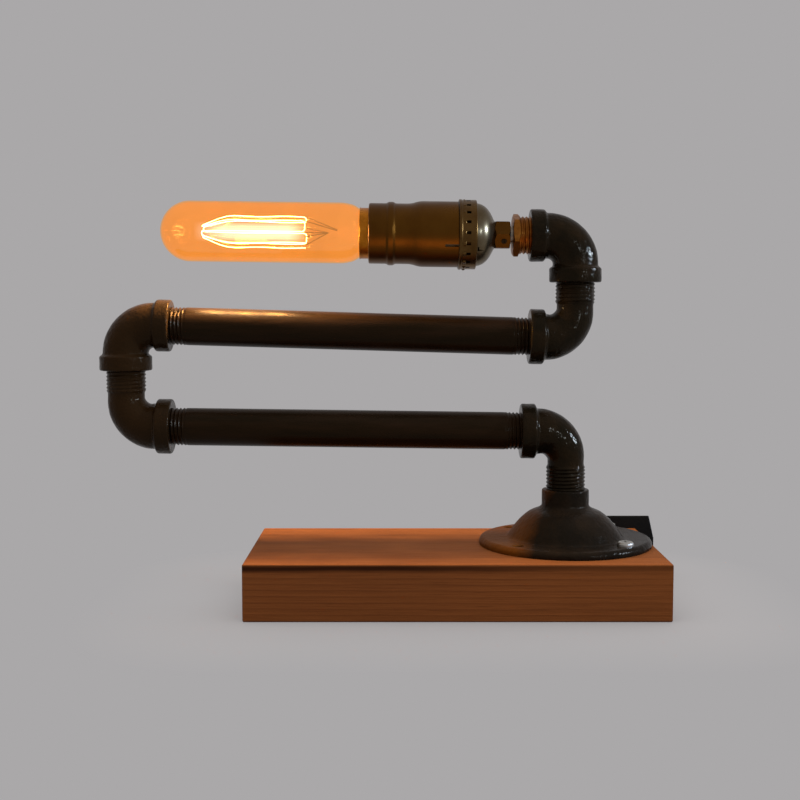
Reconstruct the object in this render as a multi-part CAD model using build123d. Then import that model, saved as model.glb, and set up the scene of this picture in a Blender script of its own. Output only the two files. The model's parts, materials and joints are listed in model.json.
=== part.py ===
from build123d import *
import math
import os

# Table lamp of threaded iron pipe on a wooden block, in millimetres.
# Origin: centre of the block's underside. +X right, +Y towards the rear housing, +Z up.

# ---------------------------------------------------------------- driving dimensions
# Wooden block
BASE_LENGTH = 228.0
BASE_DEPTH = 108.0
BASE_HEIGHT = 31.0
BASE_EDGE = 1.0                # eased edge of the block
WIRE_HOLE_RADIUS = 6.0         # drilled way for the lead, down from the flange and in from the rear

# Floor flange
FLANGE_FROM_RIGHT_END = 50.0
FLANGE_FROM_REAR = 50.0
FLANGE_RADIUS = 49.0
FLANGE_HEIGHT = 31.6
RIM_THICKNESS = 4.4
RIM_EDGE = 0.8
DOME_FOOT_RADIUS = 32.8
DOME_SIDE_RADIUS = 29.6        # halfway up the steep side
DOME_SIDE_HEIGHT = 9.4
DOME_SHOULDER_RADIUS = 25.6    # where the side starts to turn over
DOME_SHOULDER_HEIGHT = 14.4
HUB_FOOT_RADIUS = 15.2         # where the dome meets the fillet of the hub
HUB_FOOT_HEIGHT = 20.9
HUB_RADIUS = 13.4
HUB_FILLET_HEIGHT = 22.6
HUB_EDGE = 0.8
CASTING_WALL = 3.6
FLANGE_HOLE_CIRCLE = 83.0
FLANGE_HOLE_RADIUS = 3.0
FLANGE_HOLE_ANGLE = 45.0       # first hole, from +X
FLANGE_HOLES = 4
FLANGE_SOCKET_DEPTH = 13.0

# Half-inch pipe fittings
PIPE_RADIUS = 10.65
PIPE_BORE_RADIUS = 8.0
THREAD_RADIUS = 10.45          # thread crest where it is screwed in
THREAD_CLEARANCE = 0.05
THREAD_PITCH = 2.08            # of the thread that shows
THREAD_DEPTH = 0.7
PIPE_THREAD_TURNS = 5          # that show beside each socket
SOCKET_DEPTH = 13.0
ELBOW_REACH = 26.0             # elbow centre to the face of its socket
BEND_RADIUS = 16.0             # centreline of every elbow
ELBOW_BODY_RADIUS = 12.8
ELBOW_BAND_RADIUS = 14.7
STREET_BAND_RADIUS = 15.6
BAND_LENGTH = 8.0
BAND_EDGE = 1.1
STREET_LENGTH = 41.0           # street elbow centre to the end of its male leg
STREET_LEG_RADIUS = 10.3       # its body swells from the male leg
STREET_BODY_RADIUS = 13.0      # to the socket
STREET_NECK_AT = 20.3          # its centre to the start of the neck
STREET_NECK_RADIUS = 11.1      # male leg where its thread shows
STREET_NECK_EDGE = 0.6
FLANGE_ENGAGEMENT = 8.0        # how far each male leg is screwed in
LEFT_ENGAGEMENT = 9.4
RIGHT_ENGAGEMENT = 9.8
SWIVEL_GAP = 0.3               # between a neck and the socket face that it turns on
PIPE_ENGAGEMENT = 12.0

# Arms: centre-to-centre spans and the angle by which each rises to the left
LOWER_SPAN = 250.0
MIDDLE_SPAN = 254.5
LOWER_RISE = 0.75
MIDDLE_RISE = 1.7
HEAD_RISE = 0.75

# Reducing bushing, nipple and collar, along the head axis
BUSHING_THREAD_SHOWN = 5.9
BUSHING_ENGAGEMENT = 9.0
BUSHING_HEX_LENGTH = 3.9
BUSHING_THREAD_RADIUS = 10.6
HEX_EDGE = 0.6
BUSHING_HEX_FLATS = 21.4
NIPPLE_RADIUS = 5.0
NIPPLE_BORE_RADIUS = 3.6
NIPPLE_SHOWN = 1.4
NIPPLE_INSIDE_CAP = 4.4
COLLAR_LENGTH = 8.6
COLLAR_FLATS = 14.8
COLLAR_EDGE = 1.0
COLLAR_TURN = 30.0             # puts a flat on top
SET_SCREW_AT = 3.6             # from the start of the collar
SET_SCREW_RADIUS = 1.5
SET_SCREW_PROUD = 0.5
SET_SCREW_ANGLE = 30.0         # below the horizontal, towards the front
NUT_LENGTH = 3.0
NUT_FLATS = 12.0

# Lampholder shell and cap
CAP_DOME_LENGTH = 10.5
CAP_SEAT_RADIUS = 7.4
CAP_SEAT_OUT = 2.0             # how the dome's curve leaves the seat
CAP_SEAT_ALONG = 1.6
CAP_SHOULDER_IN = 1.0          # how it comes to the skirt
CAP_SHOULDER_BACK = 7.5
CAP_SKIRT_LENGTH = 9.9
CAP_STEP = 1.8                 # dome is this much smaller than the skirt
CAP_ROLL = 0.3                 # rolled edge of the skirt, and the ease of its step
CAP_ROLL_LENGTH = 1.6
SHEET = 0.8                    # spun sheet of cap and shell
WINDOWS = 20
WINDOW_LENGTH = 3.0
WINDOW_WIDTH = 2.0
NOTCH_LENGTH = 3.9             # slot in the dome, open towards the skirt
NOTCH_WIDTH = 2.8
NOTCH_ANGLE = 30.0             # below the horizontal, towards the front
SHELL_LENGTH = 50.4            # from the edge of the skirt to the lip
SHELL_LARGE_RADIUS = 18.35
SHELL_SMALL_RADIUS = 16.9
SHELL_BEAD_RADIUS = 17.7
SHELL_MOUTH_RADIUS = 15.0
SHELL_LARGE_LENGTH = 22.0
SHELL_TAPER_LENGTH = 4.7
SHELL_BEAD_AT = 38.0
SHELL_BEAD_WIDTH = 5.0
SHELL_LIP_ROUND = 2.0
SHELL_LIP_EASE = 0.6           # where the lip's round is steepest
SHELL_IN_CAP = 8.8
SLIT_LENGTH = 7.6
SLIT_WIDTH = 1.7
SLIT_ANGLE = 24.0              # below the horizontal, towards the front
SHEET_FIT = 0.25               # room between cap and shell

# Inside the lampholder
LINER_WALL = 0.5
LINER_FIT = 0.15
CORE_FIT = 0.2
CORE_START = 61.0              # from the last elbow's centre
CORE_END = 88.0
SCREW_SHELL_RADIUS = 14.2
SCREW_SHELL_WALL = 0.4
SCREW_SHELL_END = 113.0
CONTACT_GAP = 0.3
CONTACT_WIDTH = 6.0
CONTACT_HALF_LENGTH = 4.2
TERMINAL_RADIUS = 2.4
TERMINAL_DEPTH = 4.0
TERMINAL_FROM_END = 8.0

# Tubular bulb, along the same axis
BULB_CONTACT_AT = 93.0
BASE_FOOT_AT = 97.0
BUTTON_HEIGHT = 1.4
BUTTON_CROWN_HEIGHT = 0.3
BUTTON_CROWN_RADIUS = 2.8
CONTACT_BUTTON_RADIUS = 4.6
INSULATOR_RADIUS = 10.0
BULB_BASE_RADIUS = 13.2
BULB_BASE_END = 121.5
BULB_FOOT_LENGTH = 1.8         # from the insulator to the first thread
BULB_THREAD_PITCH = 3.629
BULB_THREAD_DEPTH = 0.6
BULB_THREAD_TURNS = 4
BULB_SKIRT_RADIUS = 14.2
BULB_SKIRT_LENGTH = 5.5
BULB_SKIRT_FLARE = 1.0
BULB_BASE_WALL = 0.35
GLASS_RADIUS = 17.0
GLASS_NECK_RADIUS = 13.6
GLASS_TIP_AT = 233.6
GLASS_SHOULDER_LENGTH = 10.0
GLASS_NECK_OUT = 1.6           # how the shoulder's curve leaves the neck
GLASS_NECK_ALONG = 2.5
GLASS_SHOULDER_BACK = 5.5      # how it comes to the side
GLASS_WALL = 0.8
STEM_FLARE_RADIUS = 5.1
STEM_FLARE_LENGTH = 5.1
STEM_RADIUS = 3.4
STEM_TOP_AT = 139.0
STEM_ROD_LENGTH = 5.0
STEM_ROD_RADIUS = 1.4
SUPPORT_RADIUS = 0.3
FILAMENT_RADIUS = 0.35
FILAMENT_LOOPS = 4
FILAMENT_FOOT_AT = 152.0       # bends of the legs nearest the stem
FILAMENT_FOOT_SPREAD = 8.6
FILAMENT_FOOT_BEND = 2.2
FILAMENT_KNEE_AT = 196.0       # where the legs turn in to the axis
FILAMENT_KNEE_SPREAD = 9.3
FILAMENT_KNEE_BEND = 8.0
FILAMENT_TOP_AT = 210.0
FILAMENT_TOP_SPREAD = 3.4
FILAMENT_TOP_BEND = 0.8

# Rear switch housing
HOUSING_DEPTH = 26.0
HOUSING_FOOT = 1.0             # gap under the housing
HOUSING_BODY_TOP = 25.3        # where body and lid meet
HOUSING_SCREW_MARGIN = 9.0     # to the right end of the wooden block
HOUSING_SCREW_ROOM = 5.0       # to the connector block
HOUSING_OVERHANG = 11.1        # past the wooden block's right end
HOUSING_WALL = 2.4
HOUSING_EDGE = 1.5
LID_HEIGHT = 13.4
LID_SIDE_DRAFT = 12.6
LID_TOP_SLOPE = 12.0
LIP_HEIGHT = 2.5
LIP_FIT = 0.15
LIP_WALL = 1.2
LID_EDGE = 0.8
SWITCH_FROM_RIGHT = 26.0
SWITCH_LENGTH = 18.8
SWITCH_WIDTH = 12.8
SWITCH_DEPTH = 13.0
BEZEL_MARGIN = 1.1
BEZEL_THICKNESS = 1.8
BEZEL_EDGE = 0.6
ROCKER_LENGTH = 16.0
ROCKER_WIDTH = 10.6
ROCKER_THROW = 18.0            # degrees from on to off
ROCKER_PIVOT_DEPTH = 3.2
ROCKER_PIN_RADIUS = 1.2
ROCKER_GAP = 0.3
ROCKER_SWING = 0.9             # room at the rocker's ends for its throw
ROCKER_TAIL = 2.4              # below the pivot
ROCKER_PIN_SEAT = 0.6
BLADE_LENGTH = 7.0
BLADE_WIDTH = 4.8
BLADE_THICKNESS = 0.8
BLADE_SPACING = 8.0
FIT = 0.1                      # round what is set into the housing
GLAND_FROM_LEFT = 19.0
GLAND_THREAD_RADIUS = 5.8
GLAND_BORE_RADIUS = 3.2
GLAND_FLATS = 15.0
GLAND_FLANGE = 4.0
GLAND_NOSE = 7.0
GLAND_BARREL = 8.0
GLAND_EDGE = 0.8
LOCKNUT_FLATS = 16.0
LOCKNUT_LENGTH = 3.0
BLOCK_LENGTH = 22.0            # connector block
BLOCK_DEPTH = 10.0
BLOCK_HEIGHT = 11.0
BLOCK_FROM_WALL = 2.0
BLOCK_SIDE_ROOM = 3.5
BLOCK_PITCH = 11.0
BLOCK_WAY_RADIUS = 1.6
BLOCK_WELL_RADIUS = 2.0
BLOCK_SCREW_SUNK = 1.0

# Screws
PAN_ROUND = 0.6                # rounded share of a pan head's height
RECESS_WIDTH = 0.22            # width of its cross recess, as a share of the head's radius
POINT_LENGTH = 2.0             # a wood screw's point, in shank radii
SLOT_WIDTH = 0.6               # slot of a small machine screw
SLOT_DEPTH = 0.6
FLANGE_SCREW_HEAD_RADIUS = 4.6
FLANGE_SCREW_HEAD_HEIGHT = 2.4
FLANGE_SCREW_RADIUS = 2.2
FLANGE_SCREW_LENGTH = 24.0
HOUSING_SCREW_HEAD_RADIUS = 3.2
HOUSING_SCREW_HEAD_HEIGHT = 2.0
HOUSING_SCREW_RADIUS = 1.6
HOUSING_SCREW_LENGTH = 14.0
SCREW_FIT = 0.05               # between a wood screw and its pilot hole

# Lead inside the pipes
LEAD_RADIUS = 2.5
LEAD_BEND_RADIUS = 10.0        # in the block

# ---------------------------------------------------------------- places
FLANGE_X = BASE_LENGTH / 2 - FLANGE_FROM_RIGHT_END
FLANGE_Y = BASE_DEPTH / 2 - FLANGE_FROM_REAR
HUB_TOP = BASE_HEIGHT + FLANGE_HEIGHT
WIRE_HEIGHT = BASE_HEIGHT / 2
REAR = BASE_DEPTH / 2
HOUSING_LEFT = FLANGE_X - BLOCK_LENGTH / 2 - BLOCK_SIDE_ROOM - HOUSING_WALL
HOUSING_RIGHT = BASE_LENGTH / 2 + HOUSING_OVERHANG
HOUSING_WIDTH = HOUSING_RIGHT - HOUSING_LEFT
HOUSING_REAR = REAR + HOUSING_DEPTH
HOUSING_MID_HEIGHT = (HOUSING_FOOT + HOUSING_BODY_TOP) / 2
TO_FRONT = Rot(90, 0, 0)       # turns +Z towards the front
TO_REAR = Rot(-90, 0, 0)       # turns +Z towards the rear
DOWN = Rot(180, 0, 0)          # turns +Z downwards
FRONT_TURN = 270.0             # about a head's axis, from its top to its front


def rising(angle):
    """Unit direction to the left, rising by an angle in degrees."""
    return Vector(-math.cos(math.radians(angle)), 0, math.sin(math.radians(angle)))


CORNER_1 = Vector(FLANGE_X, FLANGE_Y, HUB_TOP + STREET_LENGTH - FLANGE_ENGAGEMENT)
CORNER_2 = CORNER_1 + rising(LOWER_RISE) * LOWER_SPAN
LEFT_JOINT = CORNER_2 + Vector(0, 0, STREET_LENGTH - LEFT_ENGAGEMENT)
CORNER_3 = LEFT_JOINT + Vector(0, 0, ELBOW_REACH)
CORNER_4 = CORNER_3 - rising(MIDDLE_RISE) * MIDDLE_SPAN
RIGHT_JOINT = CORNER_4 + Vector(0, 0, STREET_LENGTH - RIGHT_ENGAGEMENT)
CORNER_5 = RIGHT_JOINT + Vector(0, 0, ELBOW_REACH)


def along(corner, angle):
    """Frame at a corner: Z runs left along the arm, X is up and Y is to the rear."""
    up = (math.sin(math.radians(angle)), 0, math.cos(math.radians(angle)))
    return Plane(origin=corner, x_dir=up, z_dir=rising(angle)).location


HEAD = along(CORNER_5, HEAD_RISE)
SWITCH = Pos(HOUSING_RIGHT - SWITCH_FROM_RIGHT, HOUSING_REAR, HOUSING_MID_HEIGHT) * TO_REAR
GLAND = Pos(HOUSING_LEFT + GLAND_FROM_LEFT, HOUSING_REAR, HOUSING_MID_HEIGHT) * TO_REAR
BLOCK_FRONT = REAR + HOUSING_WALL + BLOCK_FROM_WALL
BUSHING_HEX_AT = ELBOW_REACH + BUSHING_THREAD_SHOWN
COLLAR_AT = BUSHING_HEX_AT + BUSHING_HEX_LENGTH + NIPPLE_SHOWN
CAP_AT = COLLAR_AT + COLLAR_LENGTH
SKIRT_AT = CAP_AT + CAP_DOME_LENGTH
SHELL_AT = SKIRT_AT + CAP_SKIRT_LENGTH
SHELL_END = SHELL_AT + SHELL_LENGTH
LINER_RADIUS = SHELL_SMALL_RADIUS - SHEET - LINER_FIT
CORE_RADIUS = LINER_RADIUS - LINER_WALL - CORE_FIT


# ---------------------------------------------------------------- shared shapes
def turned(*corners):
    """Solid turned about Z from a closed outline of (radius, height) corners."""
    outline = Polyline([(radius, height) for radius, height in corners], close=True)
    return revolve(Plane.XZ * make_face(outline), Axis.Z)


def tube(outer, inner, start, end):
    """Round tube about Z between two heights."""
    return Pos(0, 0, start) * extrude(Circle(outer) - Circle(inner), end - start)


def rod(radius, start, end):
    """Round bar about Z between two heights."""
    return Pos(0, 0, start) * extrude(Circle(radius), end - start)


def thread(crest, depth, pitch, start, turns):
    """Outline of a thread in (radius, height) corners, drawn as one ridge for each turn."""
    corners = [(crest - depth, start)]
    for turn in range(turns):
        corners.append((crest, start + (turn + 1 / 2) * pitch))
        corners.append((crest - depth, start + (turn + 1) * pitch))
    return corners


def hex_bar(flats, bore, start, end, edge):
    """Hexagonal piece about Z with a bore, its corners turned off at both ends."""
    half = flats / 2
    across = half / math.cos(math.pi / 6)
    bar = Pos(0, 0, start) * extrude(RegularPolygon(across, 6), end - start)
    envelope = turned(
        (0, start),
        (half, start),
        (across, start + edge),
        (across, end - edge),
        (half, end),
        (0, end),
    )
    return (bar & envelope) - rod(bore, start, end)


def bent_rod(radius, corners, bend):
    """Round bar along straight runs joined by arcs. A bend is one radius or a list of them."""
    path = FilletPolyline(*corners, radius=bend)
    section = Plane(path @ 0, z_dir=path % 0) * Circle(radius)
    return sweep(section, path=path)


# ---------------------------------------------------------------- base
def flange_hole_places():
    """Centres of the flange holes on the block's top, from the rear right one round."""
    centre = Vector(FLANGE_X, FLANGE_Y, BASE_HEIGHT)
    first = Vector(FLANGE_HOLE_CIRCLE / 2, 0, 0)
    angles = [FLANGE_HOLE_ANGLE + 360 / FLANGE_HOLES * hole for hole in range(FLANGE_HOLES)]
    return [centre + first.rotate(Axis.Z, angle) for angle in angles]


def screwed_hole_places():
    """The two right-hand flange holes, which hold screws."""
    return [place for place in flange_hole_places() if place.X > FLANGE_X]


def housing_screw_places():
    """Centres of the two screws that hold the housing to the block's rear face."""
    left = FLANGE_X + BLOCK_LENGTH / 2 + HOUSING_SCREW_ROOM
    right = BASE_LENGTH / 2 - HOUSING_SCREW_MARGIN
    return [Vector(x, REAR, HOUSING_MID_HEIGHT) for x in (left, right)]


def wood_base():
    block = Pos(0, 0, BASE_HEIGHT / 2) * Box(BASE_LENGTH, BASE_DEPTH, BASE_HEIGHT)
    block = fillet(block.edges(), BASE_EDGE)
    block -= Pos(FLANGE_X, FLANGE_Y, 0) * rod(WIRE_HOLE_RADIUS, WIRE_HEIGHT, BASE_HEIGHT)
    block -= Pos(FLANGE_X, REAR, WIRE_HEIGHT) * TO_FRONT * rod(WIRE_HOLE_RADIUS, 0, FLANGE_FROM_REAR)
    block -= Pos(FLANGE_X, FLANGE_Y, WIRE_HEIGHT) * Sphere(WIRE_HOLE_RADIUS)
    pilot = rod(FLANGE_SCREW_RADIUS + SCREW_FIT, RIM_THICKNESS - FLANGE_SCREW_LENGTH - SCREW_FIT, 0)
    for place in screwed_hole_places():
        block -= Pos(place) * pilot
    for place in housing_screw_places():
        depth = HOUSING_SCREW_LENGTH - HOUSING_WALL + SCREW_FIT
        block -= Pos(place) * TO_FRONT * rod(HOUSING_SCREW_RADIUS + SCREW_FIT, 0, depth)
    return block


def floor_flange():
    """Cast flange: flat rim, steep-sided dome and a threaded hub, hollow below."""
    rim = Polyline(
        (0, 0),
        (FLANGE_RADIUS, 0),
        (FLANGE_RADIUS, RIM_THICKNESS - RIM_EDGE),
        (FLANGE_RADIUS - RIM_EDGE, RIM_THICKNESS),
        (DOME_FOOT_RADIUS, RIM_THICKNESS),
    )
    turn_over = (DOME_SHOULDER_RADIUS, DOME_SHOULDER_HEIGHT)
    side = ThreePointArc(rim @ 1, (DOME_SIDE_RADIUS, DOME_SIDE_HEIGHT), turn_over)
    shoulder = TangentArc(side @ 1, (HUB_FOOT_RADIUS, HUB_FOOT_HEIGHT), tangent=side % 1)
    foot = TangentArc(shoulder @ 1, (HUB_RADIUS, HUB_FILLET_HEIGHT), tangent=shoulder % 1)
    hub = Polyline(
        foot @ 1,
        (HUB_RADIUS, FLANGE_HEIGHT - HUB_EDGE),
        (HUB_RADIUS - HUB_EDGE, FLANGE_HEIGHT),
        (0, FLANGE_HEIGHT),
        (0, 0),
    )
    body = revolve(Plane.XZ * make_face(rim + side + shoulder + foot + hub), Axis.Z)
    cavity_top = FLANGE_HEIGHT - FLANGE_SOCKET_DEPTH - CASTING_WALL
    body -= turned(
        (0, 0),
        (DOME_FOOT_RADIUS - CASTING_WALL, 0),
        (DOME_SHOULDER_RADIUS - CASTING_WALL, DOME_SHOULDER_HEIGHT - CASTING_WALL),
        (PIPE_BORE_RADIUS, cavity_top),
        (0, cavity_top),
    )
    body -= rod(PIPE_BORE_RADIUS, 0, FLANGE_HEIGHT)
    body -= rod(THREAD_RADIUS + THREAD_CLEARANCE, FLANGE_HEIGHT - FLANGE_SOCKET_DEPTH, FLANGE_HEIGHT)
    body = Pos(FLANGE_X, FLANGE_Y, BASE_HEIGHT) * body
    for place in flange_hole_places():
        body -= Pos(place) * rod(FLANGE_HOLE_RADIUS, 0, RIM_THICKNESS * 2)
    return body


def pan_screw(head_radius, head_height, shank_radius, length):
    """Pan-head screw about Z: head above zero, shank and point below."""
    head = rod(head_radius, 0, head_height)
    head = fillet(head.edges().group_by(Axis.Z)[-1], head_height * PAN_ROUND)
    blade = head_radius * RECESS_WIDTH
    cross = Box(head_radius, blade, head_height) + Box(blade, head_radius, head_height)
    head -= Pos(0, 0, head_height) * cross
    point = shank_radius * POINT_LENGTH
    shank = turned((0, 0), (shank_radius, 0), (shank_radius, point - length), (0, -length))
    return head + shank


def flange_screws():
    screw = pan_screw(
        FLANGE_SCREW_HEAD_RADIUS, FLANGE_SCREW_HEAD_HEIGHT, FLANGE_SCREW_RADIUS, FLANGE_SCREW_LENGTH
    )
    return [Pos(place + Vector(0, 0, RIM_THICKNESS)) * screw for place in screwed_hole_places()]


def housing_body():
    """Open-topped moulded box screwed to the rear of the block."""
    height = HOUSING_BODY_TOP - HOUSING_FOOT
    middle = (HOUSING_LEFT + HOUSING_RIGHT) / 2
    outside = Pos(middle, REAR + HOUSING_DEPTH / 2, HOUSING_FOOT + height / 2)
    box = outside * Box(HOUSING_WIDTH, HOUSING_DEPTH, height)
    box = fillet(box.edges().filter_by(Axis.Z).group_by(Axis.Y)[-1], HOUSING_EDGE)
    inside = Box(HOUSING_WIDTH - 2 * HOUSING_WALL, HOUSING_DEPTH - 2 * HOUSING_WALL, height)
    box -= outside * Pos(0, 0, HOUSING_WALL) * inside
    boss_top = WIRE_HEIGHT - BLOCK_HEIGHT / 2
    boss_height = boss_top - HOUSING_FOOT - HOUSING_WALL
    box += Pos(FLANGE_X, BLOCK_FRONT + BLOCK_DEPTH / 2, boss_top - boss_height / 2) * Box(
        BLOCK_LENGTH, BLOCK_DEPTH, boss_height
    )
    box -= Pos(FLANGE_X, REAR + HOUSING_WALL, WIRE_HEIGHT) * TO_FRONT * rod(WIRE_HOLE_RADIUS, 0, HOUSING_WALL)
    box -= SWITCH * Box(SWITCH_LENGTH + FIT, SWITCH_WIDTH + FIT, 2 * HOUSING_WALL)
    box -= GLAND * rod(GLAND_THREAD_RADIUS + FIT, -HOUSING_WALL, 0)
    for place in housing_screw_places():
        box -= Pos(place) * TO_REAR * rod(HOUSING_SCREW_RADIUS + FIT, 0, HOUSING_WALL)
    return box


def lid_form(inset):
    """The lid's drafted form, made smaller all round by an inset."""
    fall = math.tan(math.radians(LID_TOP_SLOPE))
    lean = math.tan(math.radians(LID_SIDE_DRAFT))
    top = HOUSING_BODY_TOP + LID_HEIGHT - inset
    left = HOUSING_LEFT + inset
    right = HOUSING_RIGHT - inset
    front = REAR + inset
    back = HOUSING_REAR - inset
    rise = top - HOUSING_BODY_TOP
    face = Polyline(
        (left, HOUSING_BODY_TOP),
        (right, HOUSING_BODY_TOP),
        (right - rise * lean, top),
        (left + rise * lean, top),
        close=True,
    )
    across = Pos(0, REAR + HOUSING_DEPTH, 0) * extrude(Plane.XZ * make_face(face), HOUSING_DEPTH)
    rear_rise = rise - fall * HOUSING_DEPTH
    side = Polyline(
        (front, HOUSING_BODY_TOP),
        (back, HOUSING_BODY_TOP),
        (back - rear_rise * lean, HOUSING_BODY_TOP + rear_rise),
        (front, top),
        close=True,
    )
    along_x = Pos(HOUSING_LEFT, 0, 0) * extrude(Plane.YZ * make_face(side), HOUSING_WIDTH)
    return across & along_x


def housing_lid():
    """Drafted lid whose lip drops inside the body."""
    lid = lid_form(0)
    upper = [edge for edge in lid.edges() if edge.center().Z > HOUSING_BODY_TOP + FIT]
    lid = fillet(upper, LID_EDGE) - lid_form(HOUSING_WALL)
    middle = (HOUSING_LEFT + HOUSING_RIGHT) / 2
    width = HOUSING_WIDTH - 2 * (HOUSING_WALL + LIP_FIT)
    depth = HOUSING_DEPTH - 2 * (HOUSING_WALL + LIP_FIT)
    lip_top = HOUSING_BODY_TOP + LIP_WALL
    lip = Rectangle(width, depth) - Rectangle(width - 2 * LIP_WALL, depth - 2 * LIP_WALL)
    ledge = Rectangle(HOUSING_WIDTH - HOUSING_WALL, HOUSING_DEPTH - HOUSING_WALL)
    ledge -= Rectangle(width - 2 * LIP_WALL, depth - 2 * LIP_WALL)
    centre = Pos(middle, REAR + HOUSING_DEPTH / 2, HOUSING_BODY_TOP)
    return lid + centre * extrude(ledge, lip_top - HOUSING_BODY_TOP) + centre * extrude(lip, -LIP_HEIGHT)


def housing_screws():
    screw = pan_screw(
        HOUSING_SCREW_HEAD_RADIUS, HOUSING_SCREW_HEAD_HEIGHT, HOUSING_SCREW_RADIUS, HOUSING_SCREW_LENGTH
    )
    return [Pos(place + Vector(0, HOUSING_WALL, 0)) * TO_REAR * screw for place in housing_screw_places()]


def switch_body():
    """Rocker switch case with its bezel outside the wall and its well open to the rear."""
    case = Pos(0, 0, -SWITCH_DEPTH / 2) * Box(SWITCH_LENGTH, SWITCH_WIDTH, SWITCH_DEPTH)
    bezel = Box(SWITCH_LENGTH + 2 * BEZEL_MARGIN, SWITCH_WIDTH + 2 * BEZEL_MARGIN, BEZEL_THICKNESS)
    bezel = chamfer(bezel.edges().group_by(Axis.Z)[-1], BEZEL_EDGE)
    case += Pos(0, 0, BEZEL_THICKNESS / 2) * bezel
    dip = ROCKER_LENGTH / 2 * math.sin(math.radians(ROCKER_THROW / 2))
    floor = ROCKER_PIVOT_DEPTH + ROCKER_TAIL + dip + ROCKER_GAP
    well = Box(ROCKER_LENGTH + 2 * ROCKER_SWING, ROCKER_WIDTH + 2 * ROCKER_GAP, floor + BEZEL_THICKNESS)
    case -= Pos(0, 0, (BEZEL_THICKNESS - floor) / 2) * well
    pivot = rod(ROCKER_PIN_RADIUS + THREAD_CLEARANCE, -SWITCH_WIDTH / 2, SWITCH_WIDTH / 2)
    case -= Pos(0, 0, -ROCKER_PIVOT_DEPTH) * TO_REAR * pivot
    return SWITCH * case


def rocker():
    """Rocker with a shallow V face, tipped to on, and its two pivot pins."""
    half = ROCKER_LENGTH / 2
    valley = ROCKER_PIVOT_DEPTH + BEZEL_THICKNESS + ROCKER_GAP
    ridge = valley + half * math.tan(math.radians(ROCKER_THROW / 2))
    profile = Polyline(
        (-half, -ROCKER_TAIL),
        (half, -ROCKER_TAIL),
        (half, ridge),
        (0, valley),
        (-half, ridge),
        close=True,
    )
    body = extrude(Plane.XZ * make_face(profile), ROCKER_WIDTH / 2, both=True)
    pin_reach = ROCKER_WIDTH / 2 + ROCKER_GAP + ROCKER_PIN_SEAT
    body += TO_REAR * rod(ROCKER_PIN_RADIUS, -pin_reach, pin_reach)
    return SWITCH * Pos(0, 0, -ROCKER_PIVOT_DEPTH) * Rot(0, ROCKER_THROW / 2, 0) * body


def switch_terminals():
    """Two blade terminals at the back of the switch."""
    blade = Pos(0, 0, -SWITCH_DEPTH - BLADE_LENGTH / 2) * Box(BLADE_THICKNESS, BLADE_WIDTH, BLADE_LENGTH)
    return [SWITCH * Pos(offset, 0, 0) * blade for offset in (-BLADE_SPACING / 2, BLADE_SPACING / 2)]


def cord_gland():
    """Inlet gland: hexagonal flange and tapering nose outside, threaded barrel inside."""
    gland = hex_bar(GLAND_FLATS, GLAND_BORE_RADIUS, 0, GLAND_FLANGE, GLAND_EDGE)
    nose_end = GLAND_FLANGE + GLAND_NOSE
    nose_radius = GLAND_FLATS / 2 - GLAND_EDGE
    gland += turned(
        (GLAND_BORE_RADIUS, GLAND_FLANGE - GLAND_EDGE),
        (nose_radius, GLAND_FLANGE - GLAND_EDGE),
        (nose_radius, nose_end - GLAND_NOSE / 2),
        (GLAND_BORE_RADIUS + GLAND_EDGE, nose_end),
        (GLAND_BORE_RADIUS, nose_end),
    )
    gland += tube(GLAND_THREAD_RADIUS, GLAND_BORE_RADIUS, -GLAND_BARREL, 0)
    return GLAND * gland


def gland_locknut():
    bore = GLAND_THREAD_RADIUS + THREAD_CLEARANCE
    end = -HOUSING_WALL
    return GLAND * hex_bar(LOCKNUT_FLATS, bore, end - LOCKNUT_LENGTH, end, GLAND_EDGE)


def terminal_block():
    """Two-way connector block on its boss, with wire ways and screw wells."""
    block = Pos(0, BLOCK_DEPTH / 2, 0) * Box(BLOCK_LENGTH, BLOCK_DEPTH, BLOCK_HEIGHT)
    for offset in (-BLOCK_PITCH / 2, BLOCK_PITCH / 2):
        block -= Pos(offset, 0, 0) * TO_REAR * rod(BLOCK_WAY_RADIUS, 0, BLOCK_DEPTH)
        block -= Pos(offset, BLOCK_DEPTH / 2, 0) * rod(BLOCK_WELL_RADIUS, 0, BLOCK_HEIGHT / 2)
    return Pos(FLANGE_X, BLOCK_FRONT, WIRE_HEIGHT) * block


def terminal_screws():
    """Clamping screws in the wells of the connector block."""
    top = BLOCK_HEIGHT / 2 - BLOCK_SCREW_SUNK
    screw = rod(BLOCK_WELL_RADIUS - THREAD_CLEARANCE, BLOCK_WAY_RADIUS, top)
    screw -= Pos(0, 0, top) * Box(2 * BLOCK_WELL_RADIUS, SLOT_WIDTH, 2 * SLOT_DEPTH)
    centre = Pos(FLANGE_X, BLOCK_FRONT + BLOCK_DEPTH / 2, WIRE_HEIGHT)
    return [centre * Pos(offset, 0, 0) * screw for offset in (-BLOCK_PITCH / 2, BLOCK_PITCH / 2)]


def lead_base():
    """Lead from the connector block through the wooden block to the top of the hub."""
    start = Vector(FLANGE_X, BLOCK_FRONT, WIRE_HEIGHT)
    turn = Vector(FLANGE_X, FLANGE_Y, WIRE_HEIGHT)
    return bent_rod(LEAD_RADIUS, [start, turn, Vector(FLANGE_X, FLANGE_Y, HUB_TOP)], LEAD_BEND_RADIUS)


# ---------------------------------------------------------------- pipe fittings
def socket_band(radius, body_radius):
    """Raised band round a female end, along Z from the elbow's centre."""
    start = ELBOW_REACH - BAND_LENGTH
    return turned(
        (0, start - BAND_EDGE),
        (body_radius, start - BAND_EDGE),
        (radius - BAND_EDGE, start),
        (radius, start + BAND_EDGE),
        (radius, ELBOW_REACH - BAND_EDGE),
        (radius - BAND_EDGE, ELBOW_REACH),
        (0, ELBOW_REACH),
    )


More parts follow.
